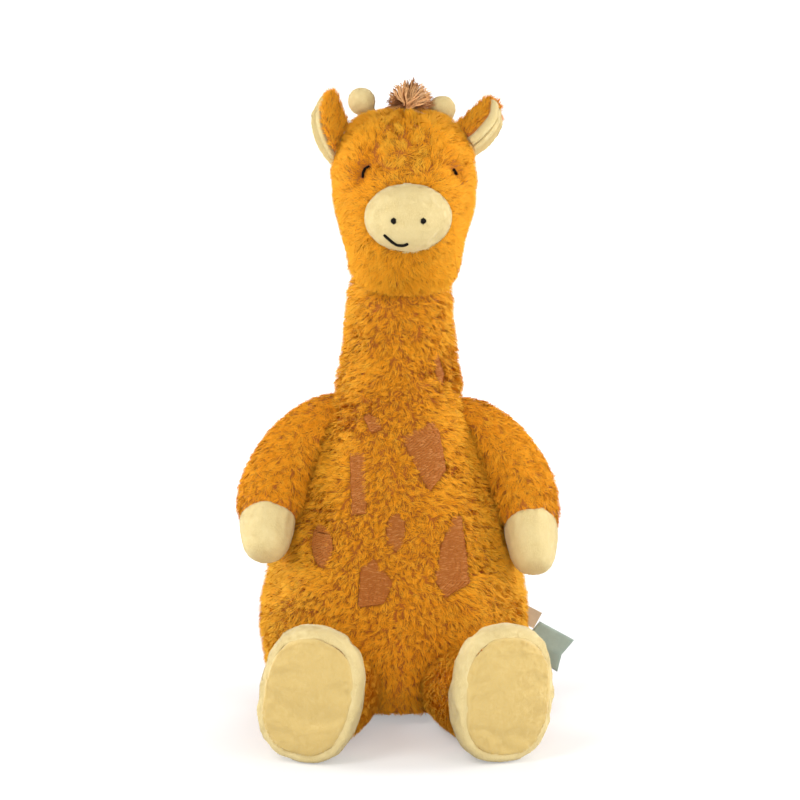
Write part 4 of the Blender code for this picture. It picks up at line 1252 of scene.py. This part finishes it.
# How much lighter each part of the head is, and the painted light that makes its sides lighter again
HEAD_TONES = {"head_fur": 0.04, "forehead_fur": 0.2}
CHEEK_PAINTED_LIGHT = 0.06
CHEEK_HALF = 0.03
FACE_COAT = {"seed": 22, "swirl_wave": 30 * MM, "tuft_turn": 40, "lift": 62}
CURLY_COAT = {
    "seed": 24,
    "tuft": 4.2 * MM,
    "swirl": 60,
    "swirl_wave": 14 * MM,
    "tuft_turn": 80,
    "lift": 72,
    "lift_spread": 0.3,
    "droop": 0.4,
    "clump": 0.15,
    "lumps": 0.55,
    "lump_reach": 1.0,
    "shade_tuft": 0.1,
    "soft": 1.0,
}
# Square millimetres of cloth that one curl gathers
CURLY_TUFT_AREA = 20


def head_fur():
    rng, roots, up = rooted("head_cloth", sizes().density * CROWD["head"], seed=21)
    muzzle = tree_of("muzzle_form")
    neck = tree_of("body_cloth")
    eyes = eye_distances("head_cloth", roots)
    keep = ~covered(muzzle, roots, up, reach=25 * MM) & ~covered(neck, roots, up, reach=12 * MM)
    keep &= (distances(neck, roots) > NECK_BARE) & (eyes > EYE_BARE)
    roots, up, eyes = kept(keep, roots, up, eyes)
    dimple = EYE_SHORT + (1 - EYE_SHORT) * np.clip((eyes - EYE_BARE) / EYE_DIMPLE, 0, 1)
    wander = RIDGE_WANDER * ripple(roots, RIDGE_WAVE, seed=23)
    ridge = np.abs(roots[:, 0] - RIDGE_MIDDLE) + wander < RIDGE_WIDTH / 2
    ridge &= (roots[:, 1] < RIDGE_DEPTH) & (roots[:, 2] + wander > RIDGE_FOOT)
    low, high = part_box("mane_crown")
    foot = roots[:, :2] - ((low.x + high.x) / 2, low.y)
    crest = 1 + CREST * np.exp(-np.sum(foot**2, axis=1) / CREST_REACH**2)
    ears = tree_of(*(part + side for part in ("ear_back_form_", "ear_lining_form_") for side in SIDES))
    curly = {**CURLY_COAT, "per_tuft": sizes().density * CURLY_TUFT_AREA}
    for name, part, changes in (("head_fur", ~ridge, FACE_COAT), ("forehead_fur", ridge, curly)):
        here, above, away, length = kept(part, roots, up, eyes, dimple * crest)
        coat = coat_of(**changes, reach=length)
        pressed(coat, ears, here, near=0.3 * MM, far=4 * MM)
        pressed(coat, muzzle, here, near=0, far=1.5 * MM)
        pressed(coat, neck, here, near=2 * MM, far=6 * MM)
        data = grown(here, above, head_comb, coat, rng)
        # Painted light makes the head's sides lighter
        tone = HEAD_TONES[name] + CHEEK_PAINTED_LIGHT * np.clip(np.abs(here[:, 0]) / CHEEK_HALF, 0, 1)
        # Painted shade in the eyes' hollows
        tone -= EYE_PAINTED_SHADE * np.exp(-((away / EYE_HOLLOW_REACH) ** 2))
        back = here[:, 1] > 0
        if name == "forehead_fur":
            strands(name, data, FUR, "head", tone)
        else:
            strands(name, data, FUR, "head", tone, ~back)
            strands("head_back_fur", data, FUR, "head", tone, back)


# Depth over which the face's comb takes over, how much it still pulls behind, and the comb at the back with
# the share of it that fades over the face
FACE_DEPTH = 0.03
FACE_PULL = 0.35
BACK_WAY = (0, 0.2, -0.9)
BACK_FADE = 0.8


def head_comb(roots, up):
    """Away from the muzzle over the face, and down the sides and the back of the head."""
    away = unit(roots - np.array(middle_of("muzzle")))
    front = np.clip(-roots[:, 1] / FACE_DEPTH, 0, 1)[:, None]
    return away * (FACE_PULL + front) + np.array(BACK_WAY) * (1 - front * BACK_FADE)


# Where each limb leaves the body, on the toy's left, and how much flatter the fur on the arm's upper side is
ARM_ROOT = (0.034, 0, 0.147)
LEG_ROOT = (0.0265, -0.042, 0.0205)
ARM_TOP_FLAT = 0.55


def limb_way(root, sign, end):
    """A comb along the limb, from its root to the middle of its end's node."""
    return combed(Vector((sign * root[0], *root[1:])), middle_of(end))


def arm_fur(side, sign):
    rng, roots, up = rooted("arm_cloth_" + side, sizes().density * CROWD["arm"], seed=31 + sign)
    hand = tree_of("hand_form_" + side)
    body = tree_of("body_cloth")
    keep = ~covered(hand, roots, up, reach=6 * MM) & ~covered(hand, roots, -up, reach=0.1 * MM)
    roots, up = kept(keep & (distances(body, roots) > SEAM_BARE), roots, up)
    coat = coat_of(seed=32 + sign, swirl=16, lift=50, tuft_turn=50, lumps=0.2, gather=0.3)
    pressed(coat, body, roots, near=0.3 * MM, far=4 * MM)
    pressed(coat, hand, roots, near=0, far=6 * MM)
    coat["flat"] = coat["flat"] * (1 - ARM_TOP_FLAT * np.clip(up[:, 2], 0, 1))
    data = grown(roots, up, limb_way(ARM_ROOT, sign, "hand_" + side), coat, rng)
    strands("arm_fur_" + side, data, FUR, "arm_" + side, TONES_AND_PAINTED_LIGHT["arm"])


def leg_fur(side, sign):
    rng, roots, up = rooted("leg_cloth_" + side, sizes().density, seed=41 + sign)
    foot = tree_of("foot_upper_form_" + side, "sole_form_" + side)
    body = tree_of("body_cloth")
    keep = ~covered(foot, roots, up, reach=8 * MM) & (distances(body, roots) > SEAM_BARE)
    roots, up = kept(keep, roots, up)
    length = sizes().pile * SHORTER["leg"]
    coat = coat_of(seed=42 + sign, swirl=16, lift=44, tuft_turn=40, length=length)
    pressed(coat, body, roots, near=0.3 * MM, far=5 * MM)
    pressed(coat, foot, roots, near=0, far=3 * MM)
    lowered(coat, over_floor(roots, reach=10 * MM), reach=1)
    data = grown(roots, up, limb_way(LEG_ROOT, sign, "sole_" + side), coat, rng)
    lifted(data[0], FUR_CLEARANCE)
    # The legs' fur is painted lighter against the shade that falls on it under the body
    strands("leg_fur_" + side, data, FUR, "leg_" + side, TONES_AND_PAINTED_LIGHT["leg"])


def ear_fur(side, sign):
    rng, roots, up = rooted("ear_back_form_" + side, sizes().density * CROWD["ear"], seed=51 + sign)
    lining = tree_of("ear_lining_form_" + side)
    keep = ~covered(lining, roots, up, reach=5 * MM) & (distances(lining, roots) > LINING_BARE)
    roots, up = kept(keep, roots, up)
    length = sizes().pile * SHORTER["ear"]
    coat = coat_of(seed=52 + sign, swirl=10, lift=34, tuft_turn=30, length=length)
    pressed(coat, lining, roots, near=0, far=3 * MM)
    data = grown(roots, up, combed((0, 0, 0), EAR_WAYS[side]), coat, rng)
    strands("ear_fur_" + side, data, FUR, "ear_" + side, TONES_AND_PAINTED_LIGHT["ear"])


def tail_fur():
    """The tail's fur, and the yarn of its tuft."""
    rng, roots, up = rooted("tail_cloth", sizes().density * CROWD["tail"], seed=61)
    body = tree_of("body_cloth")
    coat = coat_of(seed=62, swirl=10, lift=26, length=sizes().pile * SHORTER["tail"])
    pressed(coat, body, roots, near=1 * MM, far=8 * MM)
    strands("tail_fur", grown(roots, up, tail_comb, coat, rng), FUR, "tail")
    roots, up = scattered(object_named("tail_tuft_core"), TUFT_DENSITY, rng)
    coat = mane_coat(seed=63, length=sizes().mane * SHORTER["tuft"], lift=18)
    pressed(coat, body, roots, near=1 * MM, far=8 * MM)
    data = grown(roots, up, tail_comb, coat, rng)
    lifted(data[0], TUFT_CLEARANCE)
    strands("tail_tuft_strands", data, "brushed_mane_yarn", "tail")


TAIL_SINK = -0.1


def tail_comb(roots, up):
    """Along the tail, which curves round the body's back towards its right side."""
    out = unit(roots * (1, 1, 0))
    return np.stack([-out[:, 1], out[:, 0], np.full(len(roots), TAIL_SINK)], axis=1)


def mane_coat(**changes):
    """How the brown yarn lies: longer, wavier and looser than the fur."""
    yarn = {
        "length": sizes().mane,
        "width": 0.9 * MM,
        "steps": 6,
        "tuft": 3.4 * MM,
        "per_tuft": 9,
        "tuft_turn": 60,
        "turn": 14,
        "swirl_wave": 18 * MM,
        "clump": 0.3,
        "lift": 62,
        "lift_spread": 0.4,
        "droop": 0.2,
        "wave": 1.0 * MM,
        "shade_tuft": 0.1,
        "shade_own": 0.08,
    }
    return coat_of(**{**yarn, **changes})


# Each mane's body, its yarn's share of the length, and its seed
MANES = {"mane_crown": ("head", 1, 71), "mane_neck": ("torso", 0.7, 73)}
MANE_VOXEL = 1.8 * MM
MANE_DEPTH = 2.5 * MM
# Uneven cut of the yarn, and how much longer it is on the toy's left
MANE_CUT = (0.75, 1.2)
MANE_LEAN = 0.25


class GIRAFFE_OT_manes(bpy.types.Operator):
    """Builds the stringy tuft on the crown and the mane down the neck"""

    bl_idname = "giraffe.manes"
    bl_label = "Manes"

    def execute(self, context):
        for name, (body, share, seed) in MANES.items():
            core = shrunk(form(name + "_core", (name,), MANE_VOXEL, smoothing=3), MANE_DEPTH)
            dressed(core, "brushed_mane_core", body, (name,))
            rng, roots, up = rooted(core.name, MANE_DENSITY, seed)
            coat = mane_coat(seed=seed + 1, length=sizes().mane * share)
            low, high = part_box(name)
            side = (roots[:, 0] - (low.x + high.x) / 2) / ((high.x - low.x) / 2)
            coat["reach"] = rng.uniform(*MANE_CUT, len(roots)) * (1 + MANE_LEAN * side)
            data = grown(roots, up, mane_comb, coat, rng)
            strands(name + "_strands", data, "brushed_mane_yarn", body)
        return {"FINISHED"}


# The yarn fans out to both sides of this line; in front of the depth it turns forwards, and behind it down
FAN_MIDDLE = 0.0035
FAN_HALF = 0.006
FAN_LEAN = 0.5
MANE_TURN = 0.02
MANE_TURN_REACH = 0.03
MANE_FORWARD = 0.6
MANE_DROP = 0.2


def mane_comb(roots, up):
    """Up and forwards on the crown, down behind."""
    front = np.clip((MANE_TURN - roots[:, 1]) / MANE_TURN_REACH, -1, 1)[:, None]
    fan = FAN_LEAN + (roots[:, :1] - FAN_MIDDLE) / FAN_HALF
    return np.concatenate([fan, -front * MANE_FORWARD, front - MANE_DROP], axis=1)


class GIRAFFE_OT_velboa(bpy.types.Operator):
    """Grows the short pile of muzzle, hands, feet, ear linings and knobs"""

    bl_idname = "giraffe.velboa"
    bl_label = "Short pile"

    def execute(self, context):
        pieces = [("muzzle_form", "head")]
        for side in SIDES:
            pieces += [
                ("hand_form_" + side, "arm_" + side),
                ("foot_upper_form_" + side, "leg_" + side),
                ("sole_form_" + side, "leg_" + side),
                ("ear_lining_form_" + side, "ear_" + side),
                ("ossicone_" + side + "_form", "head"),
            ]
        for i, (name, body) in enumerate(pieces):
            rng, roots, up = rooted(name, sizes().nap_density, seed=81 + i)
            for part, other in (("foot_upper", "sole"), ("sole", "foot_upper")):
                if name.startswith(part):
                    beyond = tree_of(name.replace(part, other))
                    roots, up = kept(distances(beyond, roots) > SEAM_BARE, roots, up)
            data = grown(roots, up, downward, nap_coat(seed=100 + i), rng)
            lifted(data[0], NAP_CLEARANCE)
            finish = "velboa_sole_pile" if name.startswith("sole") else "velboa_sheared_pile"
            strands(name.replace("form", "nap"), data, finish, body)
        return {"FINISHED"}


def nap_coat(seed):
    """How the velboa's sheared pile lies."""
    return coat_of(
        length=sizes().nap,
        width=0.4 * MM,
        sink=0.1 * MM,
        tuft=2.2 * MM,
        per_tuft=12,
        tuft_turn=6,
        turn=12,
        swirl=20,
        swirl_wave=25 * MM,
        clump=0.0,
        roll=10,
        lift=15,
        lift_spread=0.1,
        droop=0.1,
        shade_tuft=0.02,
        shade_own=0.04,
        soft=12,
        seed=seed,
    )


# Embroidery


class GIRAFFE_OT_spots(bpy.types.Operator):
    """Embroiders the eight brown spots in fill stitch"""

    bl_idname = "giraffe.spots"
    bl_label = "Spots"

    def execute(self, context):
        cloth = tree_of("body_cloth")
        for i, name in enumerate(SPOTS):
            embroider_spot("spot_" + name, cloth, np.random.default_rng(131 + i))
        return {"FINISHED"}


# Of the spots: thread and its height in thread widths, the rows' spacing, the outline's sampling, and how
# many samples may lie between two of one row
SPOT_THREAD = 1.25
SPOT_HEIGHT = 0.5
ROW_SHARE = 0.92
SPOT_SAMPLE = 0.2 * MM
SPOT_GAP = 1.5
# How many millimetres the rows run past the outline, and the length of a stitch, its spread, the shortest
# one, the shift from row to row and the points along it
SPOT_EDGE = 0.3
STITCH = 2.0 * MM
STITCH_RANGE = (0.9, 1.1)
STITCH_LEAST = 0.8 * MM
STITCH_SHIFT = 0.37
STITCH_STEPS = 5
# How high the spot stands, and the share and the width of its lower rim
SPOT_RAISE = 2.0 * MM
SPOT_RIM_SHARE = 0.55
SPOT_RIM = 4 * MM


def embroider_spot(node_name, cloth, rng):
    """Rows of level stitches over the spot's outline, raised a little on their backing."""
    outline = cad_tree(node_name)
    low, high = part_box(node_name)
    thread = sizes().thread
    stitches = []
    rows = int((high.z - low.z) / (thread * ROW_SHARE))
    for row in range(rows + 1):
        z = low.z + (high.z - low.z) * (row + 0.5) / (rows + 1)
        spans = []
        for x in np.arange(low.x - MM, high.x + MM, SPOT_SAMPLE):
            held = behind(outline, x, z)[0] is not None
            if held and spans and x - spans[-1][1] < SPOT_GAP * SPOT_SAMPLE:
                spans[-1][1] = x
            elif held:
                spans.append([x, x])
        for start, end in spans:
            start -= rng.uniform(0, SPOT_EDGE) * MM
            end += rng.uniform(0, SPOT_EDGE) * MM
            cuts = [start]
            at = start + STITCH * ((row * STITCH_SHIFT) % 1) + STITCH_LEAST
            while at < end - STITCH_LEAST:
                cuts.append(at)
                at += STITCH * rng.uniform(*STITCH_RANGE)
            cuts.append(end)
            for a, b in zip(cuts, cuts[1:]):
                path = []
                for t in np.linspace(0, 1, STITCH_STEPS):
                    x = a + (b - a) * t
                    place, normal = behind(cloth, x, z)
                    if place is None:
                        break
                    edge = min(x - start, end - x, z - low.z + MM, high.z - z + MM)
                    crown = SPOT_RAISE * min(1, SPOT_RIM_SHARE + edge / SPOT_RIM)
                    path.append(tuple(place + normal * crown))
                if len(path) == STITCH_STEPS:
                    stitches.append((path, tuple(normal)))
    width, height = thread * SPOT_THREAD, thread * SPOT_HEIGHT
    name = node_name + "_threads"
    stitched(name, stitches, width, height, "rayon_thread_brown", "torso", (node_name,), rng)


SATIN_STEPS = 5
# How narrow a satin line's ends are, how fast it widens from there, and how much its bars vary
SATIN_END = 0.55
SATIN_FADE = 1.5
SATIN_RANGE = (0.9, 1.05)
# How much flatter a bar is at its ends, and from how many millimetres over the cloth its places are found
SATIN_ROUND = 0.5
SATIN_START = 4


def satin(points, tree, width, spacing, lift, rng):
    """Bars of thread laid close together across the line through those points of the picture."""
    places = [seen(tree, *point) for point in points]
    line = [place for place, _ in places]
    lengths = [(b - a).length for a, b in zip(line, line[1:])]
    total = sum(lengths)
    bars = []
    at = 0.0
    while at <= total:
        rest = at
        i = 0
        while i < len(lengths) - 1 and rest > lengths[i]:
            rest -= lengths[i]
            i += 1
        share = min(1, rest / lengths[i])
        place = line[i].lerp(line[i + 1], share)
        normal = places[i][1].lerp(places[i + 1][1], share).normalized()
        across = (line[i + 1] - line[i]).normalized().cross(normal).normalized()
        fade = min(1, SATIN_END + SATIN_FADE * min(at, total - at) / width)
        half = width / 2 * fade * rng.uniform(*SATIN_RANGE)
        bar = []
        for t in np.linspace(-1, 1, SATIN_STEPS):
            start = place + across * half * t + normal * SATIN_START * MM
            hit = tree.ray_cast(start, -normal)[0] or place
            bar.append(tuple(hit + normal * lift * (1 - SATIN_ROUND * t * t)))
        bars.append((bar, tuple(normal)))
        at += spacing
    return bars


# Of each line of the face, in millimetres: its width, its bars' spacing, how far they stand off the cloth,
# and their thread's width
FACE_STITCHES = {
    "smile": (1.5, 0.3, 1.1, 0.4),
    "nostril": (3.4, 0.26, 1.3, 0.4),
    "eye": (1.1, 0.3, 2.4, 0.45),
}
FACE_THREAD_HEIGHT = 0.7


def embroider_face(kind, side, points, cloth, rng):
    """One line of the face in satin stitch, in black."""
    width, spacing, lift, thread = (value * MM for value in FACE_STITCHES[kind])
    bars = satin(points, cloth, width, spacing, lift, rng)
    height = thread * FACE_THREAD_HEIGHT
    name = kind + "_threads" + side
    stitched(name, bars, thread, height, "rayon_thread_black", "head", (kind + side,), rng)


class GIRAFFE_OT_face(bpy.types.Operator):
    """Embroiders the eyes, nostrils and smile"""

    bl_idname = "giraffe.face"
    bl_label = "Face"

    def execute(self, context):
        rng = np.random.default_rng(151)
        muzzle = tree_of("muzzle_form")
        head = tree_of("head_cloth")
        embroider_face("smile", "", SMILE_POINTS, muzzle, rng)
        for side in SIDES:
            x, y = NOSTRIL_POINTS[side]
            points = ((x - NOSTRIL_HALF, y), (x, y), (x + NOSTRIL_HALF, y))
            embroider_face("nostril", "_" + side, points, muzzle, rng)
            embroider_face("eye", "_" + side, EYE_POINTS[side], head, rng)
        return {"FINISHED"}


# Labels


class GIRAFFE_OT_labels(bpy.types.Operator):
    """Finishes the two bare labels at the hip"""

    bl_idname = "giraffe.labels"
    bl_label = "Labels"

    def execute(self, context):
        tape = frame["nodes"]["label_woven"]
        tape.material_slots[0].material = material_named("woven_taffeta_tape")
        square = carried(square_label(), "torso")
        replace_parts(square, "label_square")
        return {"FINISHED"}


LABEL_SIDE = 0.020
LABEL_TURN = radians(29)
LABEL_THICKNESS = 0.5 * MM
LABEL_STEPS = 14
LABEL_BEND = 0.5
# Ways down the label's outer edge, above and below its bend
LABEL_UPPER = Vector((-0.62, 0.1, -0.78))
LABEL_LOWER = Vector((-0.2, 0.25, -0.95))
LABEL_CURL = radians(-50)
LABEL_WAVE = 0.8 * MM


def square_label():
    """A square of woven ribbon that hangs from the side seam, its lower half bent back."""
    low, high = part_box("label_square")
    sightline = sight(*LABEL_CORNER)
    corner = EYE + sightline * ((low.y + high.y) / 2 - EYE.y) / sightline.y
    across = Vector((-cos(LABEL_TURN), 0, sin(LABEL_TURN)))
    bm = bmesh.new()
    rows = []
    for i in range(LABEL_STEPS + 1):
        down = i / LABEL_STEPS
        below = max(down - LABEL_BEND, 0)
        edge = corner + LABEL_SIDE * (LABEL_UPPER * min(down, LABEL_BEND) + LABEL_LOWER * below)
        turned = Matrix.Rotation(below * LABEL_CURL, 3, "Z") @ across
        row = []
        for j in range(LABEL_STEPS + 1):
            share = j / LABEL_STEPS
            wave = LABEL_WAVE * sin(pi * share) * down
            row.append(bm.verts.new(edge + turned * share * LABEL_SIDE + Vector((0, -wave, 0))))
        rows.append(row)
    for upper, lower in zip(rows, rows[1:]):
        for j in range(LABEL_STEPS):
            bm.faces.new((upper[j], upper[j + 1], lower[j + 1], lower[j]))
    bmesh.ops.recalc_face_normals(bm, faces=bm.faces)
    mesh = written(bm, bpy.data.meshes.new("label_square_sheet"))
    obj = added(mesh.name, mesh, material_named("woven_satin_label"))
    modified(obj, "SOLIDIFY", thickness=LABEL_THICKNESS, offset=0)
    smooth(obj.data)
    return obj


# Stage


class GIRAFFE_OT_stage(bpy.types.Operator):
    """Sets up the floor, backdrop, lamps and camera"""

    bl_idname = "giraffe.stage"
    bl_label = "Stage"

    def execute(self, context):
        make_floor()
        make_lamps()
        camera = bpy.data.cameras.new("camera")
        camera.lens = LENS_MM
        camera.sensor_width = SENSOR_MM
        context.scene.camera = aimed(camera, EYE, VIEW_TARGET)
        context.scene.view_settings.view_transform = "Standard"
        return {"FINISHED"}


def aimed(data, place, target):
    """A camera or lamp at that place that looks at the target."""
    obj = added(data.name, data)
    obj.location = place
    obj.rotation_euler = (target - Vector(place)).to_track_quat("-Z", "Y").to_euler()
    return obj


FLOOR_HALF = 12.0
FLOOR_FACES = 4


def make_floor():
    """A wide level floor that runs out of the picture on every side."""
    bm = bmesh.new()
    bmesh.ops.create_grid(bm, x_segments=FLOOR_FACES, y_segments=FLOOR_FACES, size=FLOOR_HALF)
    added("floor", written(bm, bpy.data.meshes.new("floor")), stage_material())


def shown_white(material_or_world):
    """Output that is 1 for the rays of the picture itself and for those in gloss and glass."""
    path = node(material_or_world, "ShaderNodeLightPath").outputs
    total = path["Is Camera Ray"]
    for name in ("Is Glossy Ray", "Is Transmission Ray"):
        links = [(0, total), (1, path[name])]
        total = node(material_or_world, "ShaderNodeMath", links, operation="MAXIMUM").outputs[0]
    return total


PAPER_ROUGHNESS = 0.9
FLOOR_LIFT = 0.34
# Distances from the toy between which the paper fades to white
FADE_START = 0.25
FADE_END = 0.8


def stage_material():
    """Matt pale paper: takes the shadow near the toy, and fades to white further off."""
    tint = bpy.context.scene.giraffe_colours.stage
    glow = {"Base Color": (*tint, 1), "Emission Color": (1, 1, 1, 1)}
    material, principled = shader("matt_paper", PAPER_ROUGHNESS, 0.0, **glow)
    place = [("Vector", node(material, "ShaderNodeTexCoord").outputs["Object"])]
    far = node(material, "ShaderNodeVectorMath", place, operation="LENGTH")
    ends = {"From Min": FADE_START, "From Max": FADE_END, "To Min": FLOOR_LIFT, "To Max": 1}
    fade = node(material, "ShaderNodeMapRange", [("Value", far.outputs["Value"])], **ends)
    links = [(0, shown_white(material)), (1, fade.outputs["Result"])]
    lift = node(material, "ShaderNodeMath", links, operation="MULTIPLY")
    link(material, lift.outputs[0], principled.inputs["Emission Strength"])
    return material


# Each lamp's name, place, size and power, and the place that the lamps look at
LAMPS = (
    ("key", (-0.9, -1.2, 1.5), 0.9, 12),
    ("fill", (1.1, -1.3, 0.9), 1.2, 7.5),
    ("front", (0.1, -1.7, 0.4), 1.0, 10),
    ("left", (-1.4, 0.2, 0.4), 0.9, 15),
    ("right", (1.4, 0.2, 0.4), 0.9, 15),
    ("back", (0.2, 1.2, 1.4), 0.8, 7),
)
LAMP_TARGET = Vector((0, 0, 0.14))
WORLD_LIGHT = 0.38


def make_lamps():
    for name, place, size, power in LAMPS:
        light = bpy.data.lights.new(name, "AREA")
        light.shape = "DISK"
        light.size = size
        light.energy = power
        aimed(light, place, LAMP_TARGET)
    world = bpy.data.worlds.new("studio")
    world.use_nodes = True
    background = world.node_tree.nodes["Background"]
    background.inputs["Color"].default_value = (1, 1, 1, 1)
    ends = {"To Min": WORLD_LIGHT, "To Max": 1}
    level = node(world, "ShaderNodeMapRange", [("Value", shown_white(world))], **ends)
    link(world, level.outputs["Result"], background.inputs["Strength"])
    bpy.context.scene.world = world


class GIRAFFE_PT_panel(bpy.types.Panel):
    """Sizes, colours and steps of the plush giraffe"""

    bl_idname = "GIRAFFE_PT_panel"
    bl_label = "Plush giraffe"
    bl_space_type = "VIEW_3D"
    bl_region_type = "UI"
    bl_category = "Giraffe"

    def draw(self, context):
        for group in (context.scene.giraffe_sizes, context.scene.giraffe_colours):
            box = self.layout.box()
            for name in group.__annotations__:
                box.prop(group, name)
        for operator in OPERATORS:
            self.layout.operator(operator.bl_idname)


GROUPS = {"giraffe_sizes": GiraffeSizes, "giraffe_colours": GiraffeColours}
OPERATORS = (
    GIRAFFE_OT_body,
    GIRAFFE_OT_head,
    GIRAFFE_OT_ears,
    GIRAFFE_OT_ossicones,
    GIRAFFE_OT_arms,
    GIRAFFE_OT_legs,
    GIRAFFE_OT_tail,
    GIRAFFE_OT_manes,
    GIRAFFE_OT_fur,
    GIRAFFE_OT_velboa,
    GIRAFFE_OT_spots,
    GIRAFFE_OT_face,
    GIRAFFE_OT_labels,
    GIRAFFE_OT_stage,
)


def register():
    for name, group in GROUPS.items():
        bpy.utils.register_class(group)
        setattr(bpy.types.Scene, name, PointerProperty(type=group))
    for item in (*OPERATORS, GIRAFFE_PT_panel):
        bpy.utils.register_class(item)


def unregister():
    for item in reversed((*OPERATORS, GIRAFFE_PT_panel)):
        bpy.utils.unregister_class(item)
    for name, group in GROUPS.items():
        delattr(bpy.types.Scene, name)
        bpy.utils.unregister_class(group)


def main():
    register()
    for operator in OPERATORS:
        area, name = operator.bl_idname.split(".")
        getattr(getattr(bpy.ops, area), name)()


if __name__ == "__main__":
    main()
